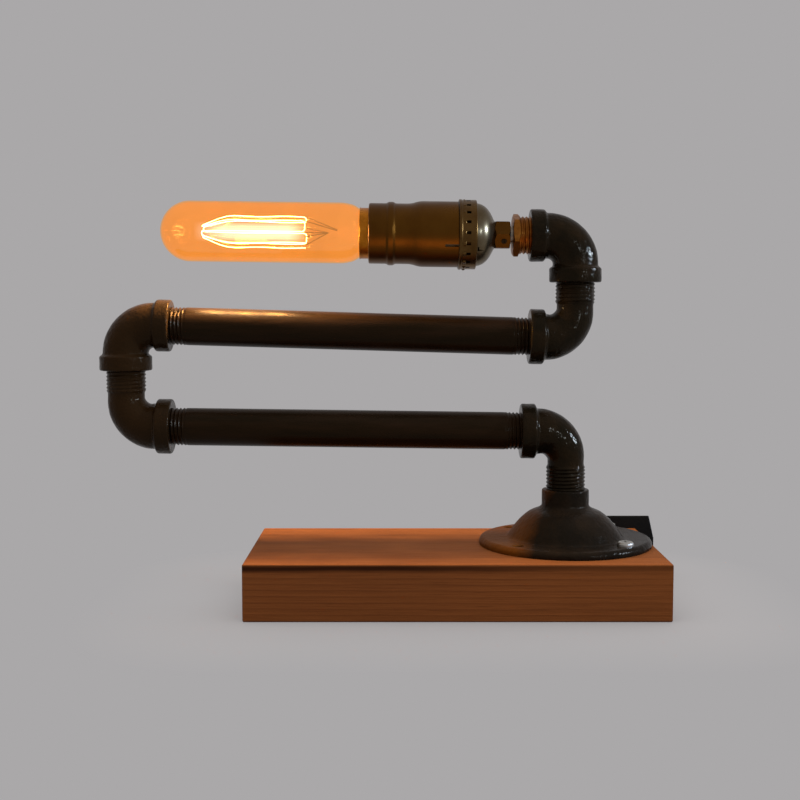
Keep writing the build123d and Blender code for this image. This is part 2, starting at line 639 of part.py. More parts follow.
def threaded_socket():
    return rod(THREAD_RADIUS + THREAD_CLEARANCE, ELBOW_REACH - SOCKET_DEPTH, ELBOW_REACH)


def elbow(rise):
    """Elbow at the origin with two sockets: one down, one left and rising by an angle."""
    side = along(Vector(0, 0, 0), rise)
    ends = [(0, 0, -ELBOW_REACH + BAND_LENGTH), (0, 0, 0), rising(rise) * (ELBOW_REACH - BAND_LENGTH)]
    way = [(0, 0, -ELBOW_REACH), (0, 0, 0), rising(rise) * ELBOW_REACH]
    band = socket_band(ELBOW_BAND_RADIUS, ELBOW_BODY_RADIUS)
    body = bent_rod(ELBOW_BODY_RADIUS, ends, BEND_RADIUS)
    body += DOWN * band + side * band
    body -= bent_rod(PIPE_BORE_RADIUS, way, BEND_RADIUS)
    return body - DOWN * threaded_socket() - side * threaded_socket()


def swelling_bend(rise, start_radius, end_radius):
    """Bend at the origin from below to the left whose round section grows along it."""
    below = Vector(0, 0, -1)
    left = rising(rise)
    tangent_length = BEND_RADIUS / math.tan(math.radians(below.get_angle(left) / 2))
    arc = TangentArc(below * tangent_length, left * tangent_length, tangent=below * -1)
    start = Plane(arc @ 0, z_dir=arc % 0) * Circle(start_radius)
    end = Plane(arc @ 1, z_dir=arc % 1) * Circle(end_radius)
    return sweep([start.face(), end.face()], path=arc, multisection=True), tangent_length


def male_leg(start, neck_end):
    """Male leg along Z from an elbow's centre: plain body, neck with its thread, and end."""
    turns = int((neck_end - STREET_NECK_AT) / THREAD_PITCH)
    shown = thread(STREET_NECK_RADIUS, THREAD_DEPTH, THREAD_PITCH, neck_end - turns * THREAD_PITCH, turns)
    return turned(
        (0, start),
        (STREET_LEG_RADIUS, start),
        (STREET_LEG_RADIUS, STREET_NECK_AT - STREET_NECK_EDGE),
        (STREET_NECK_RADIUS, STREET_NECK_AT),
        *shown,
        (THREAD_RADIUS, neck_end),
        (THREAD_RADIUS, STREET_LENGTH - BAND_EDGE),
        (THREAD_RADIUS - BAND_EDGE, STREET_LENGTH),
        (0, STREET_LENGTH),
    )


def street_elbow(rise, engagement):
    """Elbow at the origin with a male leg down and a socket left, rising by an angle."""
    side = along(Vector(0, 0, 0), rise)
    body, tangent_length = swelling_bend(rise, STREET_LEG_RADIUS, STREET_BODY_RADIUS)
    body += side * rod(STREET_BODY_RADIUS, tangent_length, ELBOW_REACH - BAND_LENGTH)
    body += side * socket_band(STREET_BAND_RADIUS, STREET_BODY_RADIUS)
    body += DOWN * male_leg(tangent_length, STREET_LENGTH - engagement - SWIVEL_GAP)
    way = [(0, 0, -STREET_LENGTH), (0, 0, 0), rising(rise) * ELBOW_REACH]
    body -= bent_rod(PIPE_BORE_RADIUS, way, BEND_RADIUS)
    return body - side * threaded_socket()


def pipe(span):
    """Pipe between two elbow centres, its thread showing a few turns beside each socket."""
    start = ELBOW_REACH - PIPE_ENGAGEMENT
    shown_length = PIPE_THREAD_TURNS * THREAD_PITCH
    far = span - ELBOW_REACH
    return turned(
        (PIPE_BORE_RADIUS, start),
        (THREAD_RADIUS, start),
        (THREAD_RADIUS, ELBOW_REACH),
        *thread(PIPE_RADIUS, THREAD_DEPTH, THREAD_PITCH, ELBOW_REACH, PIPE_THREAD_TURNS),
        (PIPE_RADIUS, ELBOW_REACH + shown_length + THREAD_DEPTH),
        (PIPE_RADIUS, far - shown_length - THREAD_DEPTH),
        *thread(PIPE_RADIUS, THREAD_DEPTH, THREAD_PITCH, far - shown_length, PIPE_THREAD_TURNS),
        (THREAD_RADIUS, far),
        (THREAD_RADIUS, span - start),
        (PIPE_BORE_RADIUS, span - start),
    )


# ---------------------------------------------------------------- lower arm
def street_elbow_lower_right():
    return Pos(CORNER_1) * street_elbow(LOWER_RISE, FLANGE_ENGAGEMENT)


def lower_pipe():
    return along(CORNER_1, LOWER_RISE) * pipe(LOWER_SPAN)


def street_elbow_lower_left():
    return Pos(CORNER_2) * Rot(0, 180, 0) * street_elbow(LOWER_RISE, LEFT_ENGAGEMENT)


def lead_lower_arm():
    start = Vector(FLANGE_X, FLANGE_Y, HUB_TOP)
    return bent_rod(LEAD_RADIUS, [start, CORNER_1, CORNER_2, LEFT_JOINT], BEND_RADIUS)


# ---------------------------------------------------------------- upper arm
def elbow_upper_left():
    return Pos(CORNER_3) * Rot(0, 0, 180) * elbow(-MIDDLE_RISE)


def middle_pipe():
    return along(CORNER_4, MIDDLE_RISE) * pipe(MIDDLE_SPAN)


def street_elbow_upper_right():
    return Pos(CORNER_4) * Rot(180, 0, 0) * street_elbow(-MIDDLE_RISE, RIGHT_ENGAGEMENT)


def lead_upper_arm():
    return bent_rod(LEAD_RADIUS, [LEFT_JOINT, CORNER_3, CORNER_4, RIGHT_JOINT], BEND_RADIUS)


# ---------------------------------------------------------------- head
def elbow_top_right():
    return Pos(CORNER_5) * elbow(HEAD_RISE)


def brass_bushing():
    """Reducing bushing: male thread into the elbow, hexagon outside, nipple thread through."""
    bore = NIPPLE_RADIUS + THREAD_CLEARANCE
    hex_end = BUSHING_HEX_AT + BUSHING_HEX_LENGTH
    hexagon = hex_bar(BUSHING_HEX_FLATS, bore, BUSHING_HEX_AT, hex_end, HEX_EDGE)
    turns = int(BUSHING_THREAD_SHOWN / THREAD_PITCH)
    male = turned(
        (bore, ELBOW_REACH - BUSHING_ENGAGEMENT),
        (THREAD_RADIUS, ELBOW_REACH - BUSHING_ENGAGEMENT),
        (THREAD_RADIUS, ELBOW_REACH),
        *thread(BUSHING_THREAD_RADIUS, THREAD_DEPTH, THREAD_PITCH, ELBOW_REACH, turns),
        (BUSHING_THREAD_RADIUS - THREAD_DEPTH, BUSHING_HEX_AT),
        (bore, BUSHING_HEX_AT),
    )
    return HEAD * (hexagon + male)


def threaded_nipple():
    start = ELBOW_REACH - BUSHING_ENGAGEMENT + NIPPLE_SHOWN
    return HEAD * tube(NIPPLE_RADIUS, NIPPLE_BORE_RADIUS, start, CAP_AT + NIPPLE_INSIDE_CAP)


def set_screw_way():
    """Frame of the set screw: its axis runs out of the collar's lower front flat."""
    out = Rot(0, 0, -SET_SCREW_ANGLE) * Rot(90, 0, 0)
    return Pos(0, 0, COLLAR_AT + SET_SCREW_AT) * out


def collar():
    """Hexagonal neck of the lampholder cap, drilled for its set screw."""
    bore = NIPPLE_RADIUS + THREAD_CLEARANCE
    neck = Rot(0, 0, COLLAR_TURN) * hex_bar(COLLAR_FLATS, bore, COLLAR_AT, CAP_AT, COLLAR_EDGE)
    return HEAD * (neck - set_screw_way() * rod(SET_SCREW_RADIUS + THREAD_CLEARANCE, 0, COLLAR_FLATS))


def set_screw():
    start = NIPPLE_RADIUS + THREAD_CLEARANCE
    end = COLLAR_FLATS / 2 + SET_SCREW_PROUD
    screw = rod(SET_SCREW_RADIUS, start, end)
    screw -= Pos(0, 0, end) * Box(2 * SET_SCREW_RADIUS, SLOT_WIDTH, 2 * SLOT_DEPTH)
    return HEAD * set_screw_way() * screw


def nipple_nut():
    start = CAP_AT + SHEET
    return HEAD * hex_bar(NUT_FLATS, NIPPLE_RADIUS + THREAD_CLEARANCE, start, start + NUT_LENGTH, HEX_EDGE)


def dome_curve(inset):
    """Outside of the cap's dome from seat to skirt, moved in by the sheet."""
    seat = CAP_SEAT_RADIUS
    dome = SHELL_LARGE_RADIUS + SHEET_FIT + SHEET - CAP_STEP - inset
    return Bezier(
        (seat, CAP_AT + inset),
        (seat + CAP_SEAT_OUT - inset / 2, CAP_AT + CAP_SEAT_ALONG + inset),
        (dome - CAP_SHOULDER_IN, SKIRT_AT - CAP_SHOULDER_BACK + inset),
        (dome, SKIRT_AT + inset),
    )


def socket_cap():
    """Spun cap: slim seat, rounded dome with a slot, and a skirt pierced by a row of windows."""
    skirt_inner = SHELL_LARGE_RADIUS + SHEET_FIT
    skirt_outer = skirt_inner + SHEET
    bore = NIPPLE_RADIUS + THREAD_CLEARANCE
    outer = dome_curve(0)
    inner = dome_curve(SHEET)
    skirt = Polyline(
        outer @ 1,
        (skirt_outer - CAP_ROLL, SKIRT_AT),
        (skirt_outer, SKIRT_AT + CAP_ROLL),
        (skirt_outer, SHELL_AT - CAP_ROLL_LENGTH),
        (skirt_outer + CAP_ROLL, SHELL_AT - CAP_ROLL_LENGTH / 2),
        (skirt_outer + CAP_ROLL, SHELL_AT - CAP_ROLL),
        (skirt_outer, SHELL_AT),
        (skirt_inner, SHELL_AT),
        (skirt_inner, SKIRT_AT + SHEET),
        inner @ 1,
    )
    mouth = Polyline(inner @ 0, (bore, CAP_AT + SHEET), (bore, CAP_AT), outer @ 0)
    cap = revolve(Plane.XZ * make_face(outer + skirt + inner + mouth), Axis.Z)
    window = Box(CAP_STEP + SHEET, WINDOW_WIDTH, WINDOW_LENGTH)
    for step in range(WINDOWS):
        turn = Rot(0, 0, 360 / WINDOWS * step)
        cap -= turn * Pos(skirt_outer, 0, (SKIRT_AT + SHELL_AT) / 2) * window
    notch = Box(SHELL_LARGE_RADIUS, NOTCH_WIDTH, NOTCH_LENGTH)
    notch_place = Pos(SHELL_LARGE_RADIUS, 0, SKIRT_AT - NOTCH_LENGTH / 2)
    return HEAD * (cap - Rot(0, 0, FRONT_TURN - NOTCH_ANGLE) * notch_place * notch)


def shell_outline(inset):
    """Outside of the shell from its open end to the lip, moved inwards by the sheet."""
    large = SHELL_LARGE_RADIUS - inset
    small = SHELL_SMALL_RADIUS - inset
    bead = SHELL_BEAD_RADIUS - inset
    taper_at = SHELL_AT + SHELL_LARGE_LENGTH
    bead_at = SHELL_AT + SHELL_BEAD_AT
    half = SHELL_BEAD_WIDTH / 2
    return [
        (large, SHELL_AT - SHELL_IN_CAP),
        (large, taper_at),
        (small, taper_at + SHELL_TAPER_LENGTH),
        (small, bead_at - half),
        (bead, bead_at - half / 2),
        (bead, bead_at + half / 2),
        (small, bead_at + half),
        (small, SHELL_END - SHELL_LIP_ROUND),
        (small - SHELL_LIP_EASE, SHELL_END - SHELL_LIP_EASE - inset),
        (small - SHELL_LIP_ROUND + inset, SHELL_END - inset),
    ]


def socket_shell():
    """Spun shell with a taper, a bead and a curled lip, slit where it snaps into the cap."""
    lip = [(SHELL_MOUTH_RADIUS, SHELL_END), (SHELL_MOUTH_RADIUS, SHELL_END - SHEET)]
    shell = turned(*shell_outline(0), *lip, *reversed(shell_outline(SHEET)))
    slit = Box(2 * SHELL_LARGE_RADIUS, SLIT_WIDTH, SLIT_LENGTH + SHELL_IN_CAP)
    middle = SHELL_AT + (SLIT_LENGTH - SHELL_IN_CAP) / 2
    shell -= Rot(0, 0, FRONT_TURN - SLIT_ANGLE) * Pos(SHELL_LARGE_RADIUS, 0, middle) * slit
    return HEAD * shell


def socket_liner():
    """Insulating sleeve between the shell and the live parts."""
    end = SHELL_END - SHELL_LIP_ROUND - LINER_FIT
    return HEAD * tube(LINER_RADIUS, LINER_RADIUS - LINER_WALL, CORE_START, end)


def terminal_way(turn):
    """Frame of a terminal screw, its axis square to the lampholder's."""
    return Rot(0, 0, turn) * Pos(0, 0, CORE_START + TERMINAL_FROM_END) * Rot(0, 90, 0)


def socket_core():
    """Insulating core with pockets for the two terminals."""
    core = rod(CORE_RADIUS, CORE_START, CORE_END)
    pocket = rod(TERMINAL_RADIUS + THREAD_CLEARANCE, CORE_RADIUS - TERMINAL_DEPTH, CORE_RADIUS)
    return HEAD * (core - terminal_way(0) * pocket - terminal_way(180) * pocket)


def socket_terminals():
    end = CORE_RADIUS - CORE_FIT
    screw = rod(TERMINAL_RADIUS, CORE_RADIUS - TERMINAL_DEPTH, end)
    screw -= Pos(0, 0, end) * Box(2 * TERMINAL_RADIUS, SLOT_WIDTH, 2 * SLOT_DEPTH)
    return [HEAD * terminal_way(turn) * screw for turn in (0, 180)]


def screw_shell():
    """Brass screw shell, its floor on the core and open round the centre contact."""
    wall = tube(SCREW_SHELL_RADIUS, SCREW_SHELL_RADIUS - SCREW_SHELL_WALL, CORE_END, SCREW_SHELL_END)
    floor = tube(SCREW_SHELL_RADIUS, CONTACT_WIDTH, CORE_END, CORE_END + SCREW_SHELL_WALL)
    return HEAD * (wall + floor)


def centre_contact():
    """Sprung brass tongue bent up from the core to the bulb's contact."""
    reach = BULB_CONTACT_AT - CONTACT_GAP - CORE_END
    half = CONTACT_HALF_LENGTH
    profile = Polyline(
        (-half, 0),
        (half, 0),
        (half, SCREW_SHELL_WALL),
        (half - reach / 2, SCREW_SHELL_WALL),
        (half / 2, reach),
        (-half / 2, reach),
        (-half / 2, reach - SCREW_SHELL_WALL),
        (half / 4, reach - SCREW_SHELL_WALL),
        (half / 4 - reach / 2, SCREW_SHELL_WALL),
        (-half, SCREW_SHELL_WALL),
        close=True,
    )
    return HEAD * Pos(0, 0, CORE_END) * extrude(Plane.XZ * make_face(profile), CONTACT_WIDTH / 2, both=True)


def lead_head():
    end = CORNER_5 + rising(HEAD_RISE) * CORE_START
    return bent_rod(LEAD_RADIUS, [RIGHT_JOINT, CORNER_5, end], BEND_RADIUS)


# ---------------------------------------------------------------- bulb
def glass_outline(inset):
    """Half outline of the glass from its neck to its tip, moved inwards by the wall."""
    shoulder_end = BULB_BASE_END + GLASS_SHOULDER_LENGTH
    body = GLASS_RADIUS - inset
    neck = GLASS_NECK_RADIUS - inset
    straight = Line((neck, BULB_BASE_END - BULB_SKIRT_LENGTH), (neck, BULB_BASE_END))
    shoulder = Bezier(
        straight @ 1,
        (neck + GLASS_NECK_OUT, BULB_BASE_END + GLASS_NECK_ALONG),
        (body, shoulder_end - GLASS_SHOULDER_BACK),
        (body, shoulder_end),
    )
    side = Line(shoulder @ 1, (body, GLASS_TIP_AT - GLASS_RADIUS))
    slant = body * math.sqrt(0.5)
    centre = GLASS_TIP_AT - GLASS_RADIUS
    tip = ThreePointArc(side @ 1, (slant, centre + slant), (0, centre + body))
    return straight, shoulder, side, tip


def bulb_glass():
    outer = glass_outline(0)
    inner = glass_outline(GLASS_WALL)
    foot = Line(inner[0] @ 0, outer[0] @ 0)
    cap = Line(outer[-1] @ 1, inner[-1] @ 1)
    edges = [*outer, cap, *inner, foot]
    return HEAD * revolve(Plane.XZ * make_face(edges), Axis.Z)


def bulb_base():
    """Thin screw base: rolled thread closed towards the contact, with a flared skirt."""
    skirt_at = BULB_BASE_END - BULB_SKIRT_LENGTH
    thread_at = BASE_FOOT_AT + BULB_FOOT_LENGTH

    def side(inset):
        crest = BULB_BASE_RADIUS - inset
        rolled = thread(crest, BULB_THREAD_DEPTH, BULB_THREAD_PITCH, thread_at, BULB_THREAD_TURNS)
        flare = [(crest, skirt_at - BULB_SKIRT_FLARE), (BULB_SKIRT_RADIUS - inset, skirt_at)]
        return [*rolled, *flare, (BULB_SKIRT_RADIUS - inset, BULB_BASE_END)]

    return HEAD * turned(
        (INSULATOR_RADIUS, BASE_FOOT_AT),
        *side(0),
        *reversed(side(BULB_BASE_WALL)),
        (INSULATOR_RADIUS, BASE_FOOT_AT + BULB_BASE_WALL),
    )


def bulb_insulator():
    """Black glass ring between base and contact."""
    insulator = turned(
        (CONTACT_BUTTON_RADIUS, BULB_CONTACT_AT + BUTTON_HEIGHT),
        (INSULATOR_RADIUS - THREAD_CLEARANCE, BASE_FOOT_AT),
        (INSULATOR_RADIUS - THREAD_CLEARANCE, BASE_FOOT_AT + BUTTON_HEIGHT),
        (0, BASE_FOOT_AT + BUTTON_HEIGHT),
        (0, BULB_CONTACT_AT + BUTTON_HEIGHT),
    )
    return HEAD * insulator


def bulb_contact():
    """Solder button that meets the lampholder's centre contact."""
    button = turned(
        (0, BULB_CONTACT_AT),
        (BUTTON_CROWN_RADIUS, BULB_CONTACT_AT + BUTTON_CROWN_HEIGHT),
        (CONTACT_BUTTON_RADIUS, BULB_CONTACT_AT + BUTTON_HEIGHT),
        (0, BULB_CONTACT_AT + BUTTON_HEIGHT),
    )
    return HEAD * button


def bulb_stem():
    """Glass stem: flare sealed in the neck, tube, and the rod that carries the supports."""
    seat = BULB_BASE_END - BULB_SKIRT_LENGTH
    flare = GLASS_NECK_RADIUS - GLASS_WALL - THREAD_CLEARANCE
    return HEAD * turned(
        (0, seat),
        (flare, seat),
        (flare, seat + GLASS_WALL),
        (STEM_FLARE_RADIUS, seat + STEM_FLARE_LENGTH),
        (STEM_RADIUS, seat + 2 * STEM_FLARE_LENGTH),
        (STEM_RADIUS, STEM_TOP_AT - STEM_ROD_LENGTH - STEM_RADIUS),
        (STEM_ROD_RADIUS, STEM_TOP_AT - STEM_ROD_LENGTH),
        (STEM_ROD_RADIUS, STEM_TOP_AT),
        (0, STEM_TOP_AT),
    )


def leg_angle(leg):
    """Angle of a filament leg round the head's axis, in radians from its top."""
    return math.radians(180 / FILAMENT_LOOPS * leg)


def round_axis(angle, radius, height):
    """Point in the head's frame at an angle in radians from its top."""
    return Vector(radius * math.cos(angle), radius * math.sin(angle), height)


def bulb_filament():
    """One wire led up and down round the axis as a cage that closes towards the tip."""
    corners = []
    bends = []
    for leg in range(2 * FILAMENT_LOOPS):
        angle = leg_angle(leg)
        leg_corners = [
            round_axis(angle, FILAMENT_FOOT_SPREAD, FILAMENT_FOOT_AT),
            round_axis(angle, FILAMENT_KNEE_SPREAD, FILAMENT_KNEE_AT),
            round_axis(angle, FILAMENT_TOP_SPREAD, FILAMENT_TOP_AT),
        ]
        leg_bends = [FILAMENT_FOOT_BEND, FILAMENT_KNEE_BEND, FILAMENT_TOP_BEND]
        upwards = leg % 2 == 0
        corners += leg_corners if upwards else reversed(leg_corners)
        bends += leg_bends if upwards else reversed(leg_bends)
    return HEAD * bent_rod(FILAMENT_RADIUS, corners, bends[1:-1])


def strut(radius, start, end):
    """Round bar between two points."""
    line = Line(start, end)
    return extrude(Plane(start, z_dir=line % 0) * Circle(radius), line.length)


def hook_reach(spread):
    """Distance from the axis to the end of a hook, just inside a bend between two legs."""
    return spread * math.cos(leg_angle(1) / 2) - FILAMENT_RADIUS - SUPPORT_RADIUS


def bulb_supports():
    """Centre wire, a star of hooks at the upper bends, and hooks up to the lower ones."""
    wires = rod(SUPPORT_RADIUS, STEM_TOP_AT, FILAMENT_TOP_AT + SUPPORT_RADIUS)
    upper_root = Vector(0, 0, FILAMENT_TOP_AT)
    for leg in range(0, 2 * FILAMENT_LOOPS, 2):
        tip = round_axis(leg_angle(leg + 1 / 2), hook_reach(FILAMENT_TOP_SPREAD), FILAMENT_TOP_AT)
        wires += strut(SUPPORT_RADIUS, upper_root, tip)
    lower_root = Vector(0, 0, STEM_TOP_AT + SUPPORT_RADIUS)
    for leg in range(1, 2 * FILAMENT_LOOPS - 1, 2):
        tip = round_axis(leg_angle(leg + 1 / 2), hook_reach(FILAMENT_FOOT_SPREAD), FILAMENT_FOOT_AT)
        wires += strut(SUPPORT_RADIUS, lower_root, tip)
    return HEAD * wires


def bulb_lead_wires():
    """Two stiff wires from the stem to the ends of the filament."""
    wires = []
    root_radius = STEM_ROD_RADIUS + SUPPORT_RADIUS + THREAD_CLEARANCE
    root_height = STEM_TOP_AT - STEM_ROD_LENGTH + SUPPORT_RADIUS
    for leg in (0, 2 * FILAMENT_LOOPS - 1):
        root = round_axis(leg_angle(leg), root_radius, root_height)
        end = round_axis(leg_angle(leg), FILAMENT_FOOT_SPREAD, FILAMENT_FOOT_AT - THREAD_CLEARANCE)
        wires.append(HEAD * strut(SUPPORT_RADIUS, root, end))
    return wires


# ---------------------------------------------------------------- write every node
NODES = [
    wood_base,
    floor_flange,
    flange_screws,
    housing_body,
    housing_lid,
    housing_screws,
    switch_body,
    switch_terminals,
    rocker,
    cord_gland,
    gland_locknut,
    terminal_block,
    terminal_screws,
    lead_base,
    street_elbow_lower_right,
    lower_pipe,
    street_elbow_lower_left,
    lead_lower_arm,
    elbow_upper_left,
    middle_pipe,
    street_elbow_upper_right,
    lead_upper_arm,
    elbow_top_right,
    brass_bushing,
    threaded_nipple,
    collar,
    set_screw,
    nipple_nut,
    socket_cap,
    socket_shell,
    socket_liner,
    socket_core,
    socket_terminals,
    screw_shell,
    centre_contact,
    lead_head,
    bulb_glass,
    bulb_base,
    bulb_insulator,
    bulb_contact,
    bulb_stem,
    bulb_supports,
    bulb_lead_wires,
    bulb_filament,
]

os.makedirs("parts", exist_ok=True)
for make in NODES:
    shape = make()
    if isinstance(shape, list):
        shape = Compound(children=shape)
    export_step(shape, f"parts/{make.__name__}.step")
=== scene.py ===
import json
import math

import bmesh
import bpy
from mathutils import Matrix, Vector, noise

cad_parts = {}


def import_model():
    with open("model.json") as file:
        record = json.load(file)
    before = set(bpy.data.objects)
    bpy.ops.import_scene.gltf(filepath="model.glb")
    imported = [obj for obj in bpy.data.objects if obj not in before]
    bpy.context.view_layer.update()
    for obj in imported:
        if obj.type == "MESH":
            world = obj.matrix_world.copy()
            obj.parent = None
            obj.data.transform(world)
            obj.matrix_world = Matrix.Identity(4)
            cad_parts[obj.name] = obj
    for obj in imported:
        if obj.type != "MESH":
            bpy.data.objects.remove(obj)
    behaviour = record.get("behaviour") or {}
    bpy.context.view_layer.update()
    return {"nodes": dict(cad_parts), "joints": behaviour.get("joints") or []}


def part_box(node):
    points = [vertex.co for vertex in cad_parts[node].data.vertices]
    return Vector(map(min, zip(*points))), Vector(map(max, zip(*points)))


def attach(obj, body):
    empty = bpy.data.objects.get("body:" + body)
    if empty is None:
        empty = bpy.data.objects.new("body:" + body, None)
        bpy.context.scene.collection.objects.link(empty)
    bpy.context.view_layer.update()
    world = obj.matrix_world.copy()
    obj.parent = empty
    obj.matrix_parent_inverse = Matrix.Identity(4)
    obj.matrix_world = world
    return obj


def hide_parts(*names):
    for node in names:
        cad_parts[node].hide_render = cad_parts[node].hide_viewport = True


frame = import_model()

# Pipe table lamp with a tubular filament bulb. Pieces are worked out in millimetres and made in metres.

# ---------------------------------------------------------------- sizes, in mm
MM = 0.001
SEGMENTS = 96                  # points round a casting, a pipe or the bulb
ROUNDING_SHARE = 0.45          # how much of a side a rounded corner may take
BORE = 8.0
SOCKET_RADIUS = 10.5           # female thread
SOCKET_START = 13.0            # from an elbow's centre
REACH = 26.0                   # elbow centre to its socket face
BEND = 16.0                    # bend of every elbow's centreline
BODY_RADIUS = 12.8
BAND_RADIUS = 14.7
BAND_START = 18.0
LEG = 41.0                     # street elbow centre to the end of its male leg
LEG_BODY_RADIUS = 10.3
STREET_BODY_RADIUS = 13.0
STREET_BAND_RADIUS = 15.6
NECK_RADIUS = 11.1
NECK_THREAD_START = 20.3
NECK_THREAD_DEPTH = 0.55
SWIVEL_GAP = 0.3
MALE_RADIUS = 10.45
PIPE_RADIUS = 10.65
PIPE_ENGAGEMENT = 12.0
PIPE_THREAD_SHOWN = 10.4
PIPE_THREAD_FADE = 6.0
PITCH = 2.08
THREAD_DEPTH = 0.8
THREAD_STEP = PITCH / 9
LUMP_SIZE = 4.2                # unevenness of the elbows' skin
FLANGE_ENGAGEMENT = 8.0        # how far each street elbow's leg goes in
LEFT_ENGAGEMENT = 9.4
RIGHT_ENGAGEMENT = 9.8
RIM_RADIUS = 49.0
HUB_RADIUS = 13.4
SCREW_CIRCLE = 41.5
SCREW_HOLE_RADIUS = 3.0
BUSHING_HEX_AT = 31.9          # these and the next are distances from the top elbow's centre
BUSHING_HEX_END = 35.8
BUSHING_FLATS = 21.4
NIPPLE_RADIUS = 5.05
CAP_AT = 45.8
SKIRT_AT = 56.3
SKIRT_RADIUS = 19.4
SHEET = 0.8                    # wall of the cap, the shell and the glass
VENTS = 20
VENTS_AT = 61.0
VENT_SIZE = (2.4, 2.6, 1.7)    # along the head, into it and round it
SLOT_SIZE = (3.6, 3.0, 2.6)
SLIT_SIZE = (11.0, 4.0, 1.5)
LOUVRE_LENGTH = 1.5
LOUVRE_WIDTH = 2.3
LOUVRE_RISE = 0.45
SHELL_START = 57.4
SHELL_AT = 66.2
SHELL_END = 116.6
SHELL_RADIUS = 18.35
SHELL_NECK_RADIUS = 16.9
BASE_START = 97.0
BASE_END = 121.5
BASE_SKIRT = 5.5
BASE_RADIUS = 13.1
BULB_PITCH = 3.629
GLASS_RADIUS = 17.0
GLASS_NECK_RADIUS = 13.6
GLASS_TIP = 233.6
FILAMENT_FOOT = (152.0, 8.6)   # distance and radius of the cage's bends near the stem
FILAMENT_KNEE = (196.0, 9.3)
FILAMENT_TOP = (210.0, 3.4)
FILAMENT_LEGS = 8
FILAMENT_RADIUS = 0.22

# ---------------------------------------------------------------- places, from the frame
UP = Vector((0, 0, 1))
REARWARD = Vector((0, 1, 0))
pivots = {joint["name"]: Vector(joint["pos_m"]) / MM for joint in frame["joints"] if "pos_m" in joint}
flange_axis = pivots["base_swivel"]
corner_1 = flange_axis + UP * (LEG - FLANGE_ENGAGEMENT)
corner_2 = pivots["left_swivel"] - UP * (LEG - LEFT_ENGAGEMENT)
corner_3 = pivots["left_swivel"] + UP * REACH
corner_4 = pivots["right_swivel"] - UP * (LEG - RIGHT_ENGAGEMENT)
corner_5 = pivots["right_swivel"] + UP * REACH
lower_way = (corner_2 - corner_1).normalized()
middle_way = (corner_3 - corner_4).normalized()
bulb_turn = next(joint for joint in frame["joints"] if joint["name"] == "bulb_turn")
head_way = Vector(bulb_turn["axis"]).normalized()
wood_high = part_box("wood_base")[1]


# ---------------------------------------------------------------- outlines and centrelines
class Way:
    """Centreline in mm about a corner. Distances below zero lie on the leg in, others on the leg out."""

    def __init__(self, corner, leg_out, leg_in=None):
        self.corner = Vector(corner)
        self.out = Vector(leg_out).normalized()
        self.back = Vector(leg_in).normalized() if leg_in else -self.out
        side = self.back.cross(self.out)
        self.side = side.normalized() if side.length > 1e-6 else REARWARD.copy()
        self.turn = math.pi - self.back.angle(self.out)
        self.tangent = BEND * math.tan(self.turn / 2) if leg_in else 0.0

    def frame(self, distance):
        """Place, direction and upward normal at a distance along the centreline."""
        if abs(distance) >= self.tangent:
            leg = self.out if distance >= 0 else self.back
            direction = self.out if distance >= 0 else -self.back
            place = self.corner + leg * abs(distance)
        else:
            share = (distance + self.tangent) / (2 * self.tangent)
            spin = Matrix.Rotation(self.turn * share, 3, -self.back.cross(self.out).normalized())
            start = self.corner + self.back * self.tangent
            inward = (self.out + self.back * (-self.out.dot(self.back))).normalized()
            centre = start + inward * BEND
            place = centre + spin @ (start - centre)
            direction = spin @ -self.back
        return place, direction, direction.cross(self.side).normalized()


def rounded(before, here, after, ease, arc_points):
    """Points of a curve that rounds the corner here between its neighbours."""
    cut_back = min(ease, (before - here).length * ROUNDING_SHARE, (after - here).length * ROUNDING_SHARE)
    first = here + (before - here).normalized() * cut_back
    last = here + (after - here).normalized() * cut_back
    shares = [step / arc_points for step in range(arc_points + 1)]
    return [first * (1 - t) ** 2 + here * 2 * t * (1 - t) + last * t * t for t in shares]


def eased(corners, closed):
    """Outline of (distance, radius, ease) corners with each corner rounded by its ease."""
    points = []
    count = len(corners)
    for index, corner in enumerate(corners):
        here = Vector(corner[:2])
        ease = corner[2] if len(corner) > 2 else 0.0
        at_end = not closed and index in (0, count - 1)
        if ease <= 0 or at_end:
            points.append(here)
            continue
        before = Vector(corners[index - 1][:2])
        after = Vector(corners[(index + 1) % count][:2])
        points += rounded(before, here, after, ease, 4)
    return points


def divided(points, closed, step, fine=()):
    """Outline with its sides cut into steps, and into short ones inside the fine stretches."""
    result = []
    pairs = zip(points, points[1:] + points[:1]) if closed else zip(points, points[1:])
    for start, end in pairs:
        middle = (start.x + end.x) / 2
        length = (end - start).length
        reach = next((size for low, high, size in fine if low <= middle <= high), step)
        count = max(1, math.ceil(length / reach - 1e-6))
        result += [start.lerp(end, index / count) for index in range(count)]
    if not closed:
        result.append(points[-1])
    return result


def smooth_step(value):
    """Share that rises gently from 0 to 1 as the value does."""
    share = min(max(value, 0.0), 1.0)
    return share * share * (3 - 2 * share)


def threaded(start, end, depth, above, runout, pitch=PITCH):
    """Radius change of a screw thread between two distances, fading where it runs out."""

    def change(distance, radius, angle):
        if radius < above or not start <= distance <= end:
            return radius
        fade = smooth_step((distance - start) / runout / pitch) * smooth_step((end - distance) / 0.3)
        phase = distance / pitch - angle / (2 * math.pi)
        valley = 0.5 - 0.5 * math.cos(2 * math.pi * phase)
        return radius - depth * fade * valley ** 0.8

    return change


def hexagonal(flats, start, end, twist):
    """Radius limited to a hexagon across flats between two distances."""

    def change(distance, radius, angle):
        if not start - 1e-6 <= distance <= end + 1e-6:
            return radius
        sector = math.pi / 3
        fold = (angle - twist) % sector - sector / 2
        return min(radius, flats / 2 / math.cos(fold))

    return change


